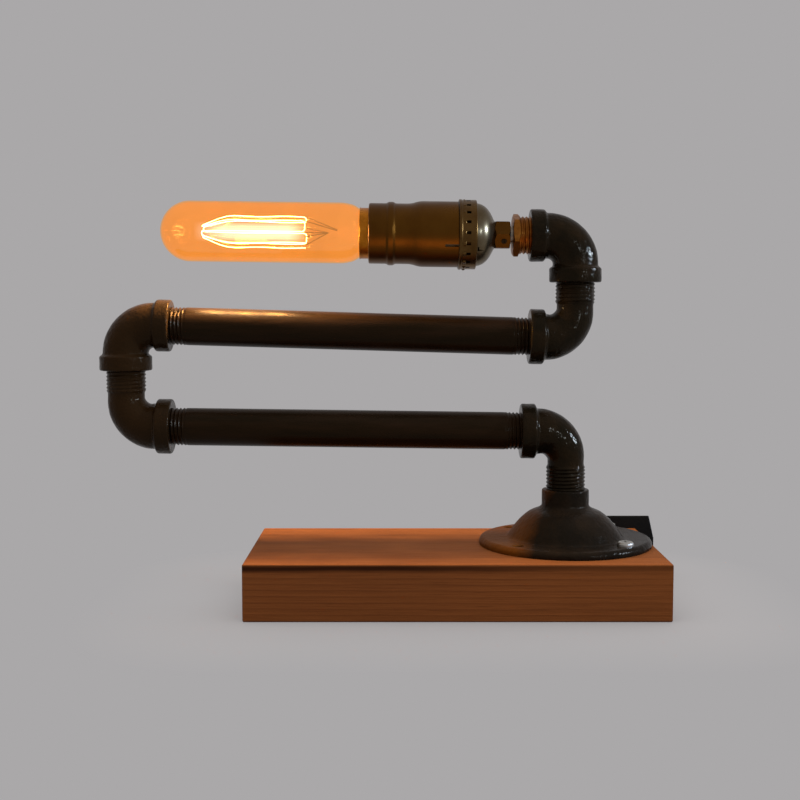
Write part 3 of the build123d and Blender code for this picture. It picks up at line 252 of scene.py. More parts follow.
def chained(*changes):
    """Several radius changes, one after the other."""

    def change(distance, radius, angle):
        for each in changes:
            radius = each(distance, radius, angle)
        return radius

    return change


def lumpy(point, size, height):
    """Height of a casting's uneven skin at a point."""
    return height * (noise.noise(point / size) + 0.45 * noise.noise(point * 2.3 / size))


# ---------------------------------------------------------------- making pieces
def placed(name, data):
    """New object in the scene."""
    made = bpy.data.objects.new(name, data)
    bpy.context.scene.collection.objects.link(made)
    return made


def shade(mesh, sharp=36.0):
    """Smooth faces with creases where they meet sharply."""
    bm = bmesh.new()
    bm.from_mesh(mesh)
    bmesh.ops.recalc_face_normals(bm, faces=bm.faces)
    for face in bm.faces:
        face.smooth = True
    for edge in bm.edges:
        edge.smooth = edge.calc_face_angle(0) < math.radians(sharp)
    bm.to_mesh(mesh)
    bm.free()


def piece(name, points, faces, sharp=36.0):
    """Object from points in mm and faces."""
    mesh = bpy.data.meshes.new(name)
    mesh.from_pydata([Vector(point) * MM for point in points], [], faces)
    mesh.validate()
    shade(mesh, sharp)
    return placed(name, mesh)


def turned(
    name, way, outline, change=None, closed=True, step=1.2, fine=(), segments=SEGMENTS, skin=None, sharp=36.0
):
    """Piece whose outline runs round a centreline. skin is (least radius, lump size, lump height)."""
    points, faces, rings = [], [], []
    for distance, radius in divided(eased(outline, closed), closed, step, fine):
        place, direction, normal = way.frame(distance)
        across = direction.cross(normal)
        if radius < 1e-5:
            rings.append([len(points)])
            points.append(place)
            continue
        ring = []
        for index in range(segments):
            angle = 2 * math.pi * index / segments
            reach = change(distance, radius, angle) if change else radius
            spoke = normal * math.cos(angle) + across * math.sin(angle)
            point = place + spoke * reach
            if skin and radius > skin[0]:
                point += spoke * lumpy(point, skin[1], skin[2])
            ring.append(len(points))
            points.append(point)
        rings.append(ring)
    pairs = list(zip(rings, rings[1:]))
    if closed:
        pairs.append((rings[-1], rings[0]))
    for low, high in pairs:
        for index in range(segments):
            after = (index + 1) % segments
            if len(low) > 1 and len(high) > 1:
                faces.append((low[index], low[after], high[after], high[index]))
            elif len(high) > 1:
                faces.append((low[0], high[after], high[index]))
            elif len(low) > 1:
                faces.append((low[index], low[after], high[0]))
    return piece(name, points, faces, sharp)


def wire(name, run, radius, sides):
    """Round wire that follows a list of points in mm."""
    points, faces = [], []
    normal = None
    for index, here in enumerate(run):
        before = run[index - 1] if index else here
        after = run[index + 1] if index < len(run) - 1 else here
        direction = (after - before).normalized()
        if normal is None:
            normal = direction.orthogonal().normalized()
        normal = (normal - direction * normal.dot(direction)).normalized()
        across = direction.cross(normal)
        for side in range(sides):
            angle = 2 * math.pi * side / sides
            points.append(here + (normal * math.cos(angle) + across * math.sin(angle)) * radius)
    for low in range(0, (len(run) - 1) * sides, sides):
        for side in range(sides):
            after = (side + 1) % sides
            faces.append((low + side, low + after, low + sides + after, low + sides + side))
    last = (len(run) - 1) * sides
    faces.append(tuple(reversed(range(sides))))
    faces.append(tuple(last + side for side in range(sides)))
    return piece(name, points, faces, 60.0)


def applied(target):
    """Turns the target's modifiers into mesh."""
    bpy.context.view_layer.update()
    shape = bpy.data.meshes.new_from_object(target.evaluated_get(bpy.context.evaluated_depsgraph_get()))
    target.modifiers.clear()
    target.data = shape
    shade(shape)


def cut(target, *cutters):
    """Takes the cutters' shapes out of the target's mesh."""
    for cutter in cutters:
        modifier = target.modifiers.new("cut", "BOOLEAN")
        modifier.object = cutter
        modifier.solver = "EXACT"
    applied(target)
    for cutter in cutters:
        bpy.data.objects.remove(cutter)


def boxes(name, places):
    """Separate boxes in one object: each place is (matrix, size in mm)."""
    points, faces = [], []
    for matrix, size in places:
        first = len(points)
        for x in (-0.5, 0.5):
            for y in (-0.5, 0.5):
                for z in (-0.5, 0.5):
                    points.append(matrix @ Vector((x * size[0], y * size[1], z * size[2])))
        for face in ((0, 1, 3, 2), (4, 6, 7, 5), (0, 4, 5, 1), (2, 3, 7, 6), (0, 2, 6, 4), (1, 5, 7, 3)):
            faces.append(tuple(first + corner for corner in face))
    return piece(name, points, faces)


def fitted(made, body, slot, *nodes, look=None):
    """Rides a piece on its body, gives it the finish of its look, or of its slot when it has no look, and
    hides the nodes it stands for.
    """
    made.data.materials.clear()
    made.data.materials.append(finishes[look or slot])
    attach(made, body)
    if nodes:
        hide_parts(*nodes)
    return made


# ---------------------------------------------------------------- finishes
class Finish:
    """A material's nodes, added one call at a time."""

    def __init__(self, name, **values):
        self.material = bpy.data.materials.new(name)
        self.material.use_nodes = True
        self.tree = self.material.node_tree
        self.shader = self.tree.nodes["Principled BSDF"]
        self.place = self.tree.nodes.new("ShaderNodeTexCoord").outputs["Object"]
        for key, value in values.items():
            self.shader.inputs[key.replace("_", " ").title().replace("Ior", "IOR")].default_value = value

    def node(self, kind, inputs, **settings):
        """New node with its settings, and its inputs linked or set."""
        made = self.tree.nodes.new(kind)
        for key, value in settings.items():
            setattr(made, key, value)
        for key, value in inputs.items():
            if isinstance(value, bpy.types.NodeSocket):
                self.tree.links.new(value, made.inputs[key])
            else:
                made.inputs[key].default_value = value
        return made

    def stretched(self, *scale):
        """Object coordinates multiplied by a scale along each axis."""
        return self.node("ShaderNodeMapping", {"Vector": self.place, "Scale": scale}).outputs["Vector"]

    def noise(self, scale, detail, rough, vector=None):
        """Fractal noise in object coordinates or in others."""
        inputs = {"Vector": vector or self.place, "Scale": scale, "Detail": detail, "Roughness": rough}
        return self.node("ShaderNodeTexNoise", inputs).outputs["Fac"]

    def spread(self, value, low, high, to_low=0.0, to_high=1.0):
        """A value mapped from one range to another, and clamped."""
        inputs = {"Value": value, "From Min": low, "From Max": high, "To Min": to_low, "To Max": to_high}
        return self.node("ShaderNodeMapRange", inputs, clamp=True).outputs["Result"]

    def math(self, operation, first, second=0.0):
        return self.node("ShaderNodeMath", {0: first, 1: second}, operation=operation).outputs[0]

    def hypotenuse(self, first, second):
        squares = [self.times(value, value) for value in (first, second)]
        return self.math("SQRT", self.plus(*squares))

    def plus(self, first, second):
        return self.math("ADD", first, second)

    def times(self, first, second):
        return self.math("MULTIPLY", first, second)

    def mix(self, share, first, second):
        """Colour between two colours by a share."""
        return self.node("ShaderNodeMix", {0: share, 6: first, 7: second}, data_type="RGBA").outputs[2]

    def axis(self, name):
        return self.node("ShaderNodeSeparateXYZ", {0: self.place}).outputs[name]

    def bump(self, height, distance, strength, normal=None):
        inputs = {"Height": height, "Distance": distance, "Strength": strength}
        if normal:
            inputs["Normal"] = normal
        return self.node("ShaderNodeBump", inputs).outputs["Normal"]

    def put(self, socket, output):
        self.tree.links.new(output, self.shader.inputs[socket])

    def show(self, share, first, second):
        """Shows a mixture of two shaders."""
        both = self.node("ShaderNodeMixShader", {0: share, 1: first.outputs[0], 2: second.outputs[0]})
        self.tree.links.new(both.outputs[0], self.tree.nodes["Material Output"].inputs["Surface"])


def tone(red, green, blue):
    """Linear colour from a colour as it shows, each channel 0 to 255."""

    def linear(channel):
        share = channel / 255
        return share / 12.92 if share <= 0.04045 else ((share + 0.055) / 1.055) ** 2.4

    return (linear(red), linear(green), linear(blue), 1.0)


WARM = (1.0, 0.8, 0.55, 1.0)
RING_WIDTH = 0.0031            # sizes in finishes are in m
PITH_BEFORE = 0.0105           # the pith's place before and below the frame's origin
PITH_BELOW = 0.12
GLARE_FROM = (-0.144, -0.127)  # X where the white middle of the bulb begins and ends
GLARE_TO = (-0.092, -0.082)


def casting_finish(name, smooth, rough, level, light, dark, bulb_lit_side):
    """Black paint over an uneven casting, with the bulb's warm light painted as brown on the side towards it.

    bulb_lit_side is (X up to which the painted warm light is full, X from which there is none, its tone, added
    roughness, share of Z that the border leans towards X).
    """
    all_lit_x, none_lit_x, painted_glow_tone, rougher, lean = bulb_lit_side
    paint = Finish(name, ior=1.5, specular_ior_level=level, specular_tint=WARM)
    patches = paint.noise(70, 4, 0.6)
    grit = paint.noise(900, 2, 0.5)
    painted = paint.mix(paint.spread(patches, 0.4, 0.7), dark, light)
    # the brown on the side towards the bulb is the bulb's warm light, painted into the colour
    leaning = paint.math("SUBTRACT", paint.axis("X"), paint.times(paint.axis("Z"), lean))
    ragged = paint.plus(leaning, paint.times(patches, 0.01))
    painted_glow_share = paint.spread(ragged, all_lit_x, none_lit_x, 1.0, 0.0)
    gloss = paint.spread(paint.plus(patches, grit), 0.6, 1.4, smooth, rough)
    paint.put("Base Color", paint.mix(painted_glow_share, painted, painted_glow_tone))
    paint.put("Roughness", paint.plus(gloss, paint.times(painted_glow_share, rougher)))
    swell = paint.bump(paint.noise(210, 3, 0.55), 0.0009, 0.5)
    peel = paint.bump(paint.noise(560, 2, 0.5), 0.0005, 0.5, swell)
    paint.put("Normal", peel)
    return paint.material


def pipe_finish():
    """Gloss black paint on drawn pipe, with faint drawing lines and specks."""
    paint = Finish("black_pipe", ior=1.5, specular_ior_level=0.1, specular_tint=WARM)
    lines = paint.noise(160, 3, 0.6, paint.stretched(0.12, 1.0, 1.0))
    specks = paint.noise(1400, 1, 0.5)
    paint.put("Base Color", paint.mix(paint.spread(lines, 0.35, 0.7), tone(17, 9, 3), tone(27, 14, 5)))
    paint.put("Roughness", paint.spread(lines, 0.3, 0.7, 0.2, 0.36))
    drawn = paint.bump(lines, 0.0004, 0.35)
    paint.put("Normal", paint.bump(specks, 0.00025, 0.3, drawn))
    return paint.material


def wood_rings(wood, place):
    """Share of late wood in the rings about a pith below the block."""
    wander = wood.noise(5, 2, 0.5, wood.stretched(1.0, 1.6, 1.6))
    depth = wood.plus(place["Y"], PITH_BEFORE)
    height = wood.plus(place["Z"], PITH_BELOW)
    distance = wood.hypotenuse(depth, height)
    wandering = wood.plus(distance, wood.times(wander, 0.003))
    ring = wood.math("FRACT", wood.times(wandering, 1 / RING_WIDTH))
    return wood.math("POWER", ring, 2.5)


def dark_edge_line(wood, place):
    """Share of the dark line under the block's upper edge, ragged and fainter to the right."""
    ragged = wood.times(wood.noise(60, 3, 0.5, wood.stretched(0.4, 1.0, 1.0)), 0.0016)
    line = wood.plus(wood.math("SUBTRACT", place["Z"], wood_high.z - 0.0014), ragged)
    edge = wood.spread(wood.math("ABSOLUTE", line), 0.0006, 0.0026, 0.9, 0.0)
    return wood.times(edge, wood.spread(place["X"], -0.03, 0.07, 1.0, 0.45))


def painted_shade_under_flange(wood, place):
    """Share of the wood under the flange's rim that is painted dark as its shade, shown by the open holes."""
    across = wood.math("SUBTRACT", place["X"], flange_axis.x * MM)
    behind = wood.math("SUBTRACT", place["Y"], flange_axis.y * MM)
    distance = wood.hypotenuse(across, behind)
    on_top = wood.spread(place["Z"], wood_high.z - 0.002, wood_high.z - 0.0005, 0.0, 1.0)
    covered = wood.spread(distance, (RIM_RADIUS - 5.0) * MM, (RIM_RADIUS - 3.5) * MM, 0.92, 0.0)
    return wood.times(covered, on_top)


def wood_finish():
    """Oiled softwood: rings broad on top, fine on the sides, a dark line under the top edge, painted shade
    under the flange.
    """
    wood = Finish("wood", roughness=0.6, specular_ior_level=0.015, specular_tint=WARM)
    place = wood.node("ShaderNodeSeparateXYZ", {0: wood.place}).outputs
    late = wood_rings(wood, place)
    fibre = wood.noise(900, 4, 0.65, wood.stretched(0.035, 1.0, 1.0))
    pores = wood.noise(1800, 2, 0.5, wood.stretched(0.02, 1.0, 1.0))
    cloud = wood.noise(9, 3, 0.5, wood.stretched(0.5, 1.5, 1.5))
    pale = wood.mix(wood.spread(cloud, 0.35, 0.65), tone(109, 63, 33), tone(122, 71, 37))
    grained = wood.mix(wood.times(late, 0.25), pale, tone(76, 40, 22))
    streaked = wood.mix(wood.spread(fibre, 0.42, 0.72, 0.0, 0.3), grained, tone(84, 46, 25))
    porous = wood.mix(wood.spread(pores, 0.63, 0.74, 0.0, 0.35), streaked, tone(44, 22, 12))
    # a darker line under the block's upper edge
    edge_lined = wood.mix(dark_edge_line(wood, place), porous, tone(34, 16, 10))
    # the wood under the flange is painted dark as the flange's shade
    wood.put("Base Color", wood.mix(painted_shade_under_flange(wood, place), edge_lined, tone(20, 13, 9)))
    wood.put("Roughness", wood.spread(fibre, 0.3, 0.7, 0.52, 0.68))
    grain = wood.bump(fibre, 0.0006, 0.35)
    wood.put("Normal", wood.bump(late, 0.0004, 0.3, grain))
    return wood.material


def metal_finish(name, light, dark, roughness, patches=90, turned_lines=0.0, beyond=None):
    """Metal with tarnish between two tones, and fine lines left by turning.

    beyond is (X, other light, other dark) for the metal with a lower X. The shell's own tones, for its part
    inside the cap, are near black as painted shade.
    """
    metal = Finish(name, metallic=1.0)
    tarnish = metal.noise(patches, 4, 0.6)
    fine = metal.noise(1100, 2, 0.5)
    tarnish_and_zone = metal.mix(metal.spread(tarnish, 0.35, 0.68), light, dark)
    if beyond:
        border, other_light, other_dark = beyond
        other = metal.mix(metal.spread(tarnish, 0.35, 0.68), other_light, other_dark)
        tarnish_and_zone = metal.mix(metal.spread(metal.axis("X"), border - 0.0003, border + 0.0003), other, tarnish_and_zone)
    metal.put("Base Color", tarnish_and_zone)
    metal.put("Roughness", metal.spread(tarnish, 0.3, 0.7, roughness, roughness + 0.16))
    lines = metal.noise(900, 2, 0.5, metal.stretched(1.0, 0.03, 0.03)) if turned_lines else fine
    metal.put("Normal", metal.bump(lines, 0.0002, turned_lines or 0.25))
    return metal.material


def moulded_finish(name, light, dark, roughness, grain=1500, depth=0.0002, gloss=0.25):
    """Moulded plastic, paper or rubber with a fine texture."""
    plastic = Finish(name, specular_ior_level=gloss)
    fine = plastic.noise(grain, 3, 0.6)
    broad = plastic.noise(45, 3, 0.5)
    plastic.put("Base Color", plastic.mix(plastic.spread(broad, 0.35, 0.7), dark, light))
    plastic.put("Roughness", plastic.spread(fine, 0.3, 0.7, roughness - 0.06, roughness + 0.08))
    plastic.put("Normal", plastic.bump(fine, depth, 0.5))
    return plastic.material


def glass_finish(name, through, solid, glow, strength, glare=0.0):
    """Amber glass lit from within, part tinted and seen through, part glowing, with a glare in its middle."""
    glass = Finish(name, roughness=0.03, ior=1.5, specular_ior_level=1.0, emission_strength=strength)
    for key, value in {"Coat Weight": 1.0, "Coat IOR": 2.6, "Coat Roughness": 0.015}.items():
        glass.shader.inputs[key].default_value = value
    streaks = glass.noise(26, 3, 0.6, glass.stretched(2.2, 0.6, 0.6))
    body = glass.mix(glass.spread(streaks, 0.35, 0.65), tone(70, 34, 10), tone(84, 42, 14))
    glass.put("Base Color", body)
    lit = glass.mix(glass.spread(streaks, 0.35, 0.65), glow, [channel * 1.1 for channel in glow])
    if glare:
        facing = glass.node("ShaderNodeLayerWeight", {"Blend": 0.5}).outputs["Facing"]
        rise = glass.spread(glass.axis("X"), *GLARE_FROM, 0.0, 1.0)
        fall = glass.spread(glass.axis("X"), *GLARE_TO, 1.0, 0.0)
        along = glass.times(rise, fall)
        share = glass.times(along, glass.spread(facing, 0.0, 0.07, glare, 0.0))
        lit = glass.mix(share, lit, (2.8, 2.5, 2.1, 1))
    glass.put("Emission Color", lit)
    clear = glass.node("ShaderNodeBsdfTransparent", {"Color": through})
    glass.show(solid, clear, glass.shader)
    return glass.material


def filament_finish():
    """Wire at a yellow heat, a little cooler in patches."""
    hot = Finish("glowing_filament", roughness=0.5, emission_strength=22.0)
    patches = hot.noise(300, 2, 0.5)
    hot.put("Base Color", hot.mix(patches, tone(120, 70, 30), tone(160, 100, 50)))
    heat = hot.mix(hot.spread(patches, 0.3, 0.7), (1.0, 0.66, 0.28, 1), (1.0, 0.78, 0.42, 1))
    hot.put("Emission Color", heat)
    return hot.material


# light tone, dark tone, roughness, size of the patches, depth of turned lines, other metal beyond an X
METALS = {
    "zinc_screw": (tone(190, 186, 178), tone(140, 132, 120), 0.3),
    "terminal_brass": (tone(201, 168, 92), tone(160, 124, 60), 0.3),
    "bright_brass": (tone(158, 100, 40), tone(112, 66, 22), 0.28, 160, 0.3),
    "zinc_tube": (tone(178, 172, 160), tone(130, 122, 108), 0.32, 120, 0.3),
    "aged_brass": (tone(96, 62, 20), tone(76, 46, 13), 0.24, 30, 0.25),
    # the shell's part inside the cap is painted near black as shade; beyond the cap it is aged brass
    "shell_brass_shaded_in_cap": (
        tone(30, 20, 10), tone(22, 15, 8), 0.24, 30, 0.25,
        (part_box("socket_cap")[0].x, tone(96, 62, 20), tone(76, 46, 13)),
    ),
    "pewter_brass": (
        tone(114, 102, 80), tone(84, 68, 46), 0.22, 70, 0.25,
        (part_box("socket_cap")[0].x + 0.0103, tone(104, 78, 42), tone(78, 54, 26)),
    ),
    "dark_steel": (tone(58, 44, 30), tone(40, 30, 20), 0.4, 200),
    "base_brass": (tone(198, 122, 32), tone(146, 84, 18), 0.26, 120, 0.3),
    "solder": (tone(190, 190, 188), tone(150, 148, 146), 0.35, 200),
    "support_wire": (tone(110, 84, 56), tone(74, 52, 32), 0.4, 200),
}
# light tone, dark tone, roughness, grain, its depth, gloss
MOULDED = {
    "black_moulding": (tone(18, 16, 13), tone(13, 11, 9), 0.6, 900, 0.0003, 0.05),
    "gloss_rocker": (tone(24, 24, 25), tone(16, 16, 17), 0.25, 2000, 0.0001),
    "pale_moulding": (tone(220, 214, 198), tone(204, 196, 178), 0.45),
    "lead_sheath": (tone(46, 45, 44), tone(32, 31, 30), 0.55),
    "liner_paper": (tone(180, 150, 110), tone(150, 120, 84), 0.8),
    "dark_moulding": (tone(84, 58, 38), tone(64, 42, 28), 0.35),
    "black_glass": (tone(24, 22, 24), tone(15, 14, 16), 0.15, 400, 0.0002),
}
finishes = {
    "wood": wood_finish(),
    "black_casting": casting_finish(
        "black_casting", 0.05, 0.17, 0.09, tone(26, 17, 8), tone(15, 11, 6),
        # brown painted as the bulb's warm light on the castings at the left
        (corner_3.x * MM + 0.01, corner_3.x * MM + 0.05, tone(33, 20, 8), 0.04, 0.0),
    ),
    "flange_casting": casting_finish(
        "flange_casting", 0.16, 0.28, 0.05, tone(27, 19, 12), tone(17, 13, 9),
        # brown painted as the bulb's warm light on the flange's left side
        (flange_axis.x * MM - 0.0448, flange_axis.x * MM - 0.0328, tone(80, 42, 7), 0.28, 0.5),
    ),
    "black_pipe": pipe_finish(),
    "clear_glass": glass_finish(
        "clear_glass", (1.0, 0.78, 0.55, 1), 0.2, (1.0, 0.43, 0.066, 1), 1.19, 0.95,
    ),
    "stem_glass": glass_finish("stem_glass", (1.0, 0.9, 0.75, 1), 0.2, (1.0, 0.6, 0.3, 1), 0.8),
    "glowing_filament": filament_finish(),
}
finishes.update({name: metal_finish(name, *values) for name, values in METALS.items()})
finishes.update({name: moulded_finish(name, *values) for name, values in MOULDED.items()})


# ---------------------------------------------------------------- castings and pipes
def band(sign, radius, body):
    """Outline of a raised band from an elbow's body to its socket face, along one leg."""
    return [
        (sign * (BAND_START - 1.3), body, 0.9),
        (sign * BAND_START, radius, 0.9),
        (sign * REACH, radius, 1.2),
        (sign * REACH, SOCKET_RADIUS, 0.3),
        (sign * SOCKET_START, SOCKET_RADIUS),
        (sign * SOCKET_START, BORE),
    ]


def elbow(name, corner, leg, body_name):
    """Elbow with a socket down and a socket along its leg."""
    way = Way(corner, leg, -UP)
    outline = list(reversed(band(-1, BAND_RADIUS, BODY_RADIUS))) + band(1, BAND_RADIUS, BODY_RADIUS)
    made = turned(name + "_casting", way, outline, step=0.9, skin=(SOCKET_RADIUS + 0.5, LUMP_SIZE, 0.1))
    return fitted(made, body_name, "black_casting", name)


def street_elbow(name, corner, leg, male, engagement, body_name):
    """Elbow with a threaded male leg and a socket, its body swelling towards the socket."""
    way = Way(corner, leg, male)
    neck_end = -(LEG - engagement - SWIVEL_GAP)
    chamfer = 1.1
    outline = [
        (-LEG, BORE),
        (-LEG, MALE_RADIUS - chamfer, 0.3),
        (chamfer - LEG, MALE_RADIUS, 0.3),
        (neck_end, MALE_RADIUS),
        (neck_end, NECK_RADIUS, 0.3),
        (-NECK_THREAD_START, NECK_RADIUS, 0.5),
        (-NECK_THREAD_START + 1.2, LEG_BODY_RADIUS, 0.8),
        (-BEND, LEG_BODY_RADIUS, 3.0),
        (BEND * 0.8, STREET_BODY_RADIUS, 4.0),
    ]
    outline += band(1, STREET_BAND_RADIUS, STREET_BODY_RADIUS)
    thread = threaded(neck_end, -NECK_THREAD_START, NECK_THREAD_DEPTH, LEG_BODY_RADIUS + 0.2, runout=0.2)
    made = turned(
        name + "_casting", way, outline, thread, step=0.9,
        fine=[(neck_end - 0.1, -NECK_THREAD_START + 0.1, THREAD_STEP)],
        skin=(SOCKET_RADIUS + 0.2, LUMP_SIZE, 0.09),
    )
    return fitted(made, body_name, "black_casting", name)


def pipe(name, start, end, body_name):
    """Pipe between two elbow centres, with open thread beside each socket."""
    span = (end - start).length
    way = Way(start, end - start)
    tip = REACH - PIPE_ENGAGEMENT
    near = REACH + PIPE_THREAD_SHOWN
    end_outline = [
        (tip, BORE),
        (tip, MALE_RADIUS - 0.8, 0.2),
        (tip + 1, MALE_RADIUS, 0.2),
        (REACH, MALE_RADIUS),
        (REACH, PIPE_RADIUS),
        (near, PIPE_RADIUS),
    ]
    outline = end_outline + [(span - distance, *rest) for distance, *rest in reversed(end_outline)]

    def thread(distance, radius, angle):
        if radius < MALE_RADIUS + 0.1:
            return radius
        depth = THREAD_DEPTH * smooth_step((near - distance) / PIPE_THREAD_FADE)
        depth += THREAD_DEPTH * smooth_step((distance - (span - near)) / PIPE_THREAD_FADE)
        valley = 0.5 - 0.5 * math.cos(2 * math.pi * (distance / PITCH - angle / (2 * math.pi)))
        return radius - depth * valley ** 0.7

    fine = [(REACH - 0.1, near + 0.1, THREAD_STEP), (span - near - 0.1, span - REACH + 0.1, THREAD_STEP)]
    made = turned(name + "_tube", way, outline, thread, step=9.0, fine=fine)
    return fitted(made, body_name, "black_pipe", name)


def floor_flange():
    """Cast flange: flat rim with four holes, convex dome, fillet and threaded hub."""
    height = flange_axis.z - wood_high.z / MM
    way = Way(Vector((flange_axis.x, flange_axis.y, wood_high.z / MM)), UP)
    outline = [
        (0, 29.0, 0.6),
        (0, RIM_RADIUS, 0.5),
        (2.6, RIM_RADIUS, 1.6),
        (4.4, 47.4, 1.2),
        (4.4, 32.9, 1.6),
        (9.2, 30.0, 3.0),
        (14.6, 25.4, 4.5),
        (18.6, 20.8, 3.5),
        (20.7, 15.4, 2.0),
        (22.2, HUB_RADIUS, 1.0),
        (height, HUB_RADIUS, 0.9),
        (height, SOCKET_RADIUS, 0.3),
        (height - 13.0, SOCKET_RADIUS),
        (height - 13.0, BORE, 0.4),
        (14.8, BORE, 1.0),
        (11.0, 20.0, 4.0),
    ]
    made = turned("floor_flange_casting", way, outline, segments=144, step=1.3, skin=(12.0, 5.0, 0.1))
    holes = []
    for quarter in range(4):
        angle = math.radians(45 + 90 * quarter)
        foot = way.corner + Vector((math.cos(angle), math.sin(angle), 0)) * SCREW_CIRCLE - UP * 2
        hole = [(0, 0), (0, SCREW_HOLE_RADIUS), (5.6, SCREW_HOLE_RADIUS), (7.4, 4.6), (7.4, 0)]
        holes.append(turned("hole", Way(foot, UP), hole, closed=False, step=5.0, segments=36))
    cut(made, *holes)
    return fitted(made, "base", "black_casting", "floor_flange", look="flange_casting")


# ---------------------------------------------------------------- lampholder and bulb
head = Way(corner_5, head_way)


def spoke_frame(distance, below_front):
    """Matrix in mm on the head's axis, with X along it and Y outwards at an angle below the front."""
    place, direction, normal = head.frame(distance)
    angle = math.radians(below_front)
    outward = -REARWARD * math.cos(angle) - UP * math.sin(angle)
    outward = (outward - direction * outward.dot(direction)).normalized()
    matrix = Matrix((direction, outward, direction.cross(outward))).transposed().to_4x4()
    matrix.translation = place
    return matrix


def bushing():
    """Brass reducing bushing with its thread showing beside the hexagon."""
    across = BUSHING_FLATS / 2 / math.cos(math.pi / 6)
    outline = [
        (17.0, NIPPLE_RADIUS),
        (17.0, 10.3, 0.3),
        (REACH - 0.5, 10.4),
        (REACH, 10.6),
        (BUSHING_HEX_AT, 10.6),
        (BUSHING_HEX_AT, BUSHING_FLATS / 2 - 0.2),
        (BUSHING_HEX_AT + 0.8, across),
        (BUSHING_HEX_END - 0.8, across),
        (BUSHING_HEX_END, BUSHING_FLATS / 2 - 0.2),
        (BUSHING_HEX_END, NIPPLE_RADIUS, 0.3),
    ]
    change = chained(
        threaded(REACH, BUSHING_HEX_AT - 0.05, THREAD_DEPTH, MALE_RADIUS, runout=0.1),
        hexagonal(BUSHING_FLATS, BUSHING_HEX_AT, BUSHING_HEX_END, math.radians(12)),
    )
    fine = [(REACH - 0.05, BUSHING_HEX_AT, 0.17), (BUSHING_HEX_AT, BUSHING_HEX_END, 0.4)]
    made = turned("bushing_turned", head, outline, change, fine=fine, sharp=28)
    return fitted(made, "head", "bright_brass", "brass_bushing")


def curve(*corners):
    """Points in (distance, radius) of a smooth curve from the first of four corners to the last."""
    points = []
    steps = 14
    for index in range(steps + 1):
        t = index / steps
        shares = ((1 - t) ** 3, 3 * t * (1 - t) ** 2, 3 * t * t * (1 - t), t ** 3)
        parts = [(share * corner[0], share * corner[1]) for share, corner in zip(shares, corners)]
        points.append(tuple(map(sum, zip(*parts))))
    return points


def cap():
    """Spun cap: slim seat, rounded dome and a skirt with a rolled edge."""
    dome = curve((CAP_AT, 7.4), (CAP_AT + 1.6, 9.4), (SKIRT_AT - 7.5, 16.6), (SKIRT_AT - 0.2, 17.6))
    inside = curve(
        (SKIRT_AT + SHEET, 16.8), (SKIRT_AT - 6.7, 15.8), (CAP_AT + 2.4, 9.0), (CAP_AT + SHEET, 7.4)
    )
    skirt = [
        (SKIRT_AT, 19.1, 0.3),
        (SKIRT_AT + 0.4, SKIRT_RADIUS, 0.3),
        (SHELL_AT - 1.8, SKIRT_RADIUS, 0.3),
        (SHELL_AT - 1.4, 19.7, 0.3),
        (SHELL_AT - 0.4, 19.7, 0.3),
        (SHELL_AT, 19.3, 0.2),
        (SHELL_AT, 18.6, 0.2),
        (SKIRT_AT + SHEET, 18.6, 0.3),
    ]
    outline = [(CAP_AT, NIPPLE_RADIUS)] + dome + skirt + inside + [(CAP_AT + SHEET, NIPPLE_RADIUS)]
    return turned("cap_spun", head, outline, segments=180, step=1.0)


def cap_and_vents():
    """Cap with its ring of small windows and one slot in the dome."""
    made = cap()
    vents = []
    for index in range(VENTS):
        matrix = spoke_frame(VENTS_AT, 360 / VENTS * index) @ Matrix.Translation((0, 19.2, 0))
        vents.append((matrix, VENT_SIZE))
    slot = (spoke_frame(SKIRT_AT - 2.2, 30) @ Matrix.Translation((0, 17.8, 0)), SLOT_SIZE)
    cut(made, boxes("vents", vents), boxes("slot", [slot]))
    return fitted(made, "head", "pewter_brass", "socket_cap")


def louvres():
    """Small raised lips beside the vents, pressed out of the skirt."""
    points, faces = [], []
    rows, columns = 6, 8
    for index in range(VENTS):
        matrix = spoke_frame(VENTS_AT + 2.1, 360 / VENTS * index)
        first = len(points)
        for row in range(rows + 1):
            for column in range(columns + 1):
                along = row / rows - 0.5
                across = column / columns - 0.5
                rise = math.cos(math.pi * along) * math.cos(math.pi * across)
                along, across = along * LOUVRE_LENGTH, across * LOUVRE_WIDTH
                reach = math.sqrt(19.3 ** 2 - across ** 2) + LOUVRE_RISE * rise ** 0.7
                points.append(matrix @ Vector((along, reach, across)))
        for row in range(rows):
            for column in range(columns):
                here = first + row * (columns + 1) + column
                faces.append((here, here + 1, here + columns + 2, here + columns + 1))
    made = piece("cap_louvres", points, faces)
    modifier = made.modifiers.new("thickness", "SOLIDIFY")
    modifier.thickness = 0.3 * MM
    modifier.offset = -1
    applied(made)
    return fitted(made, "head", "pewter_brass")


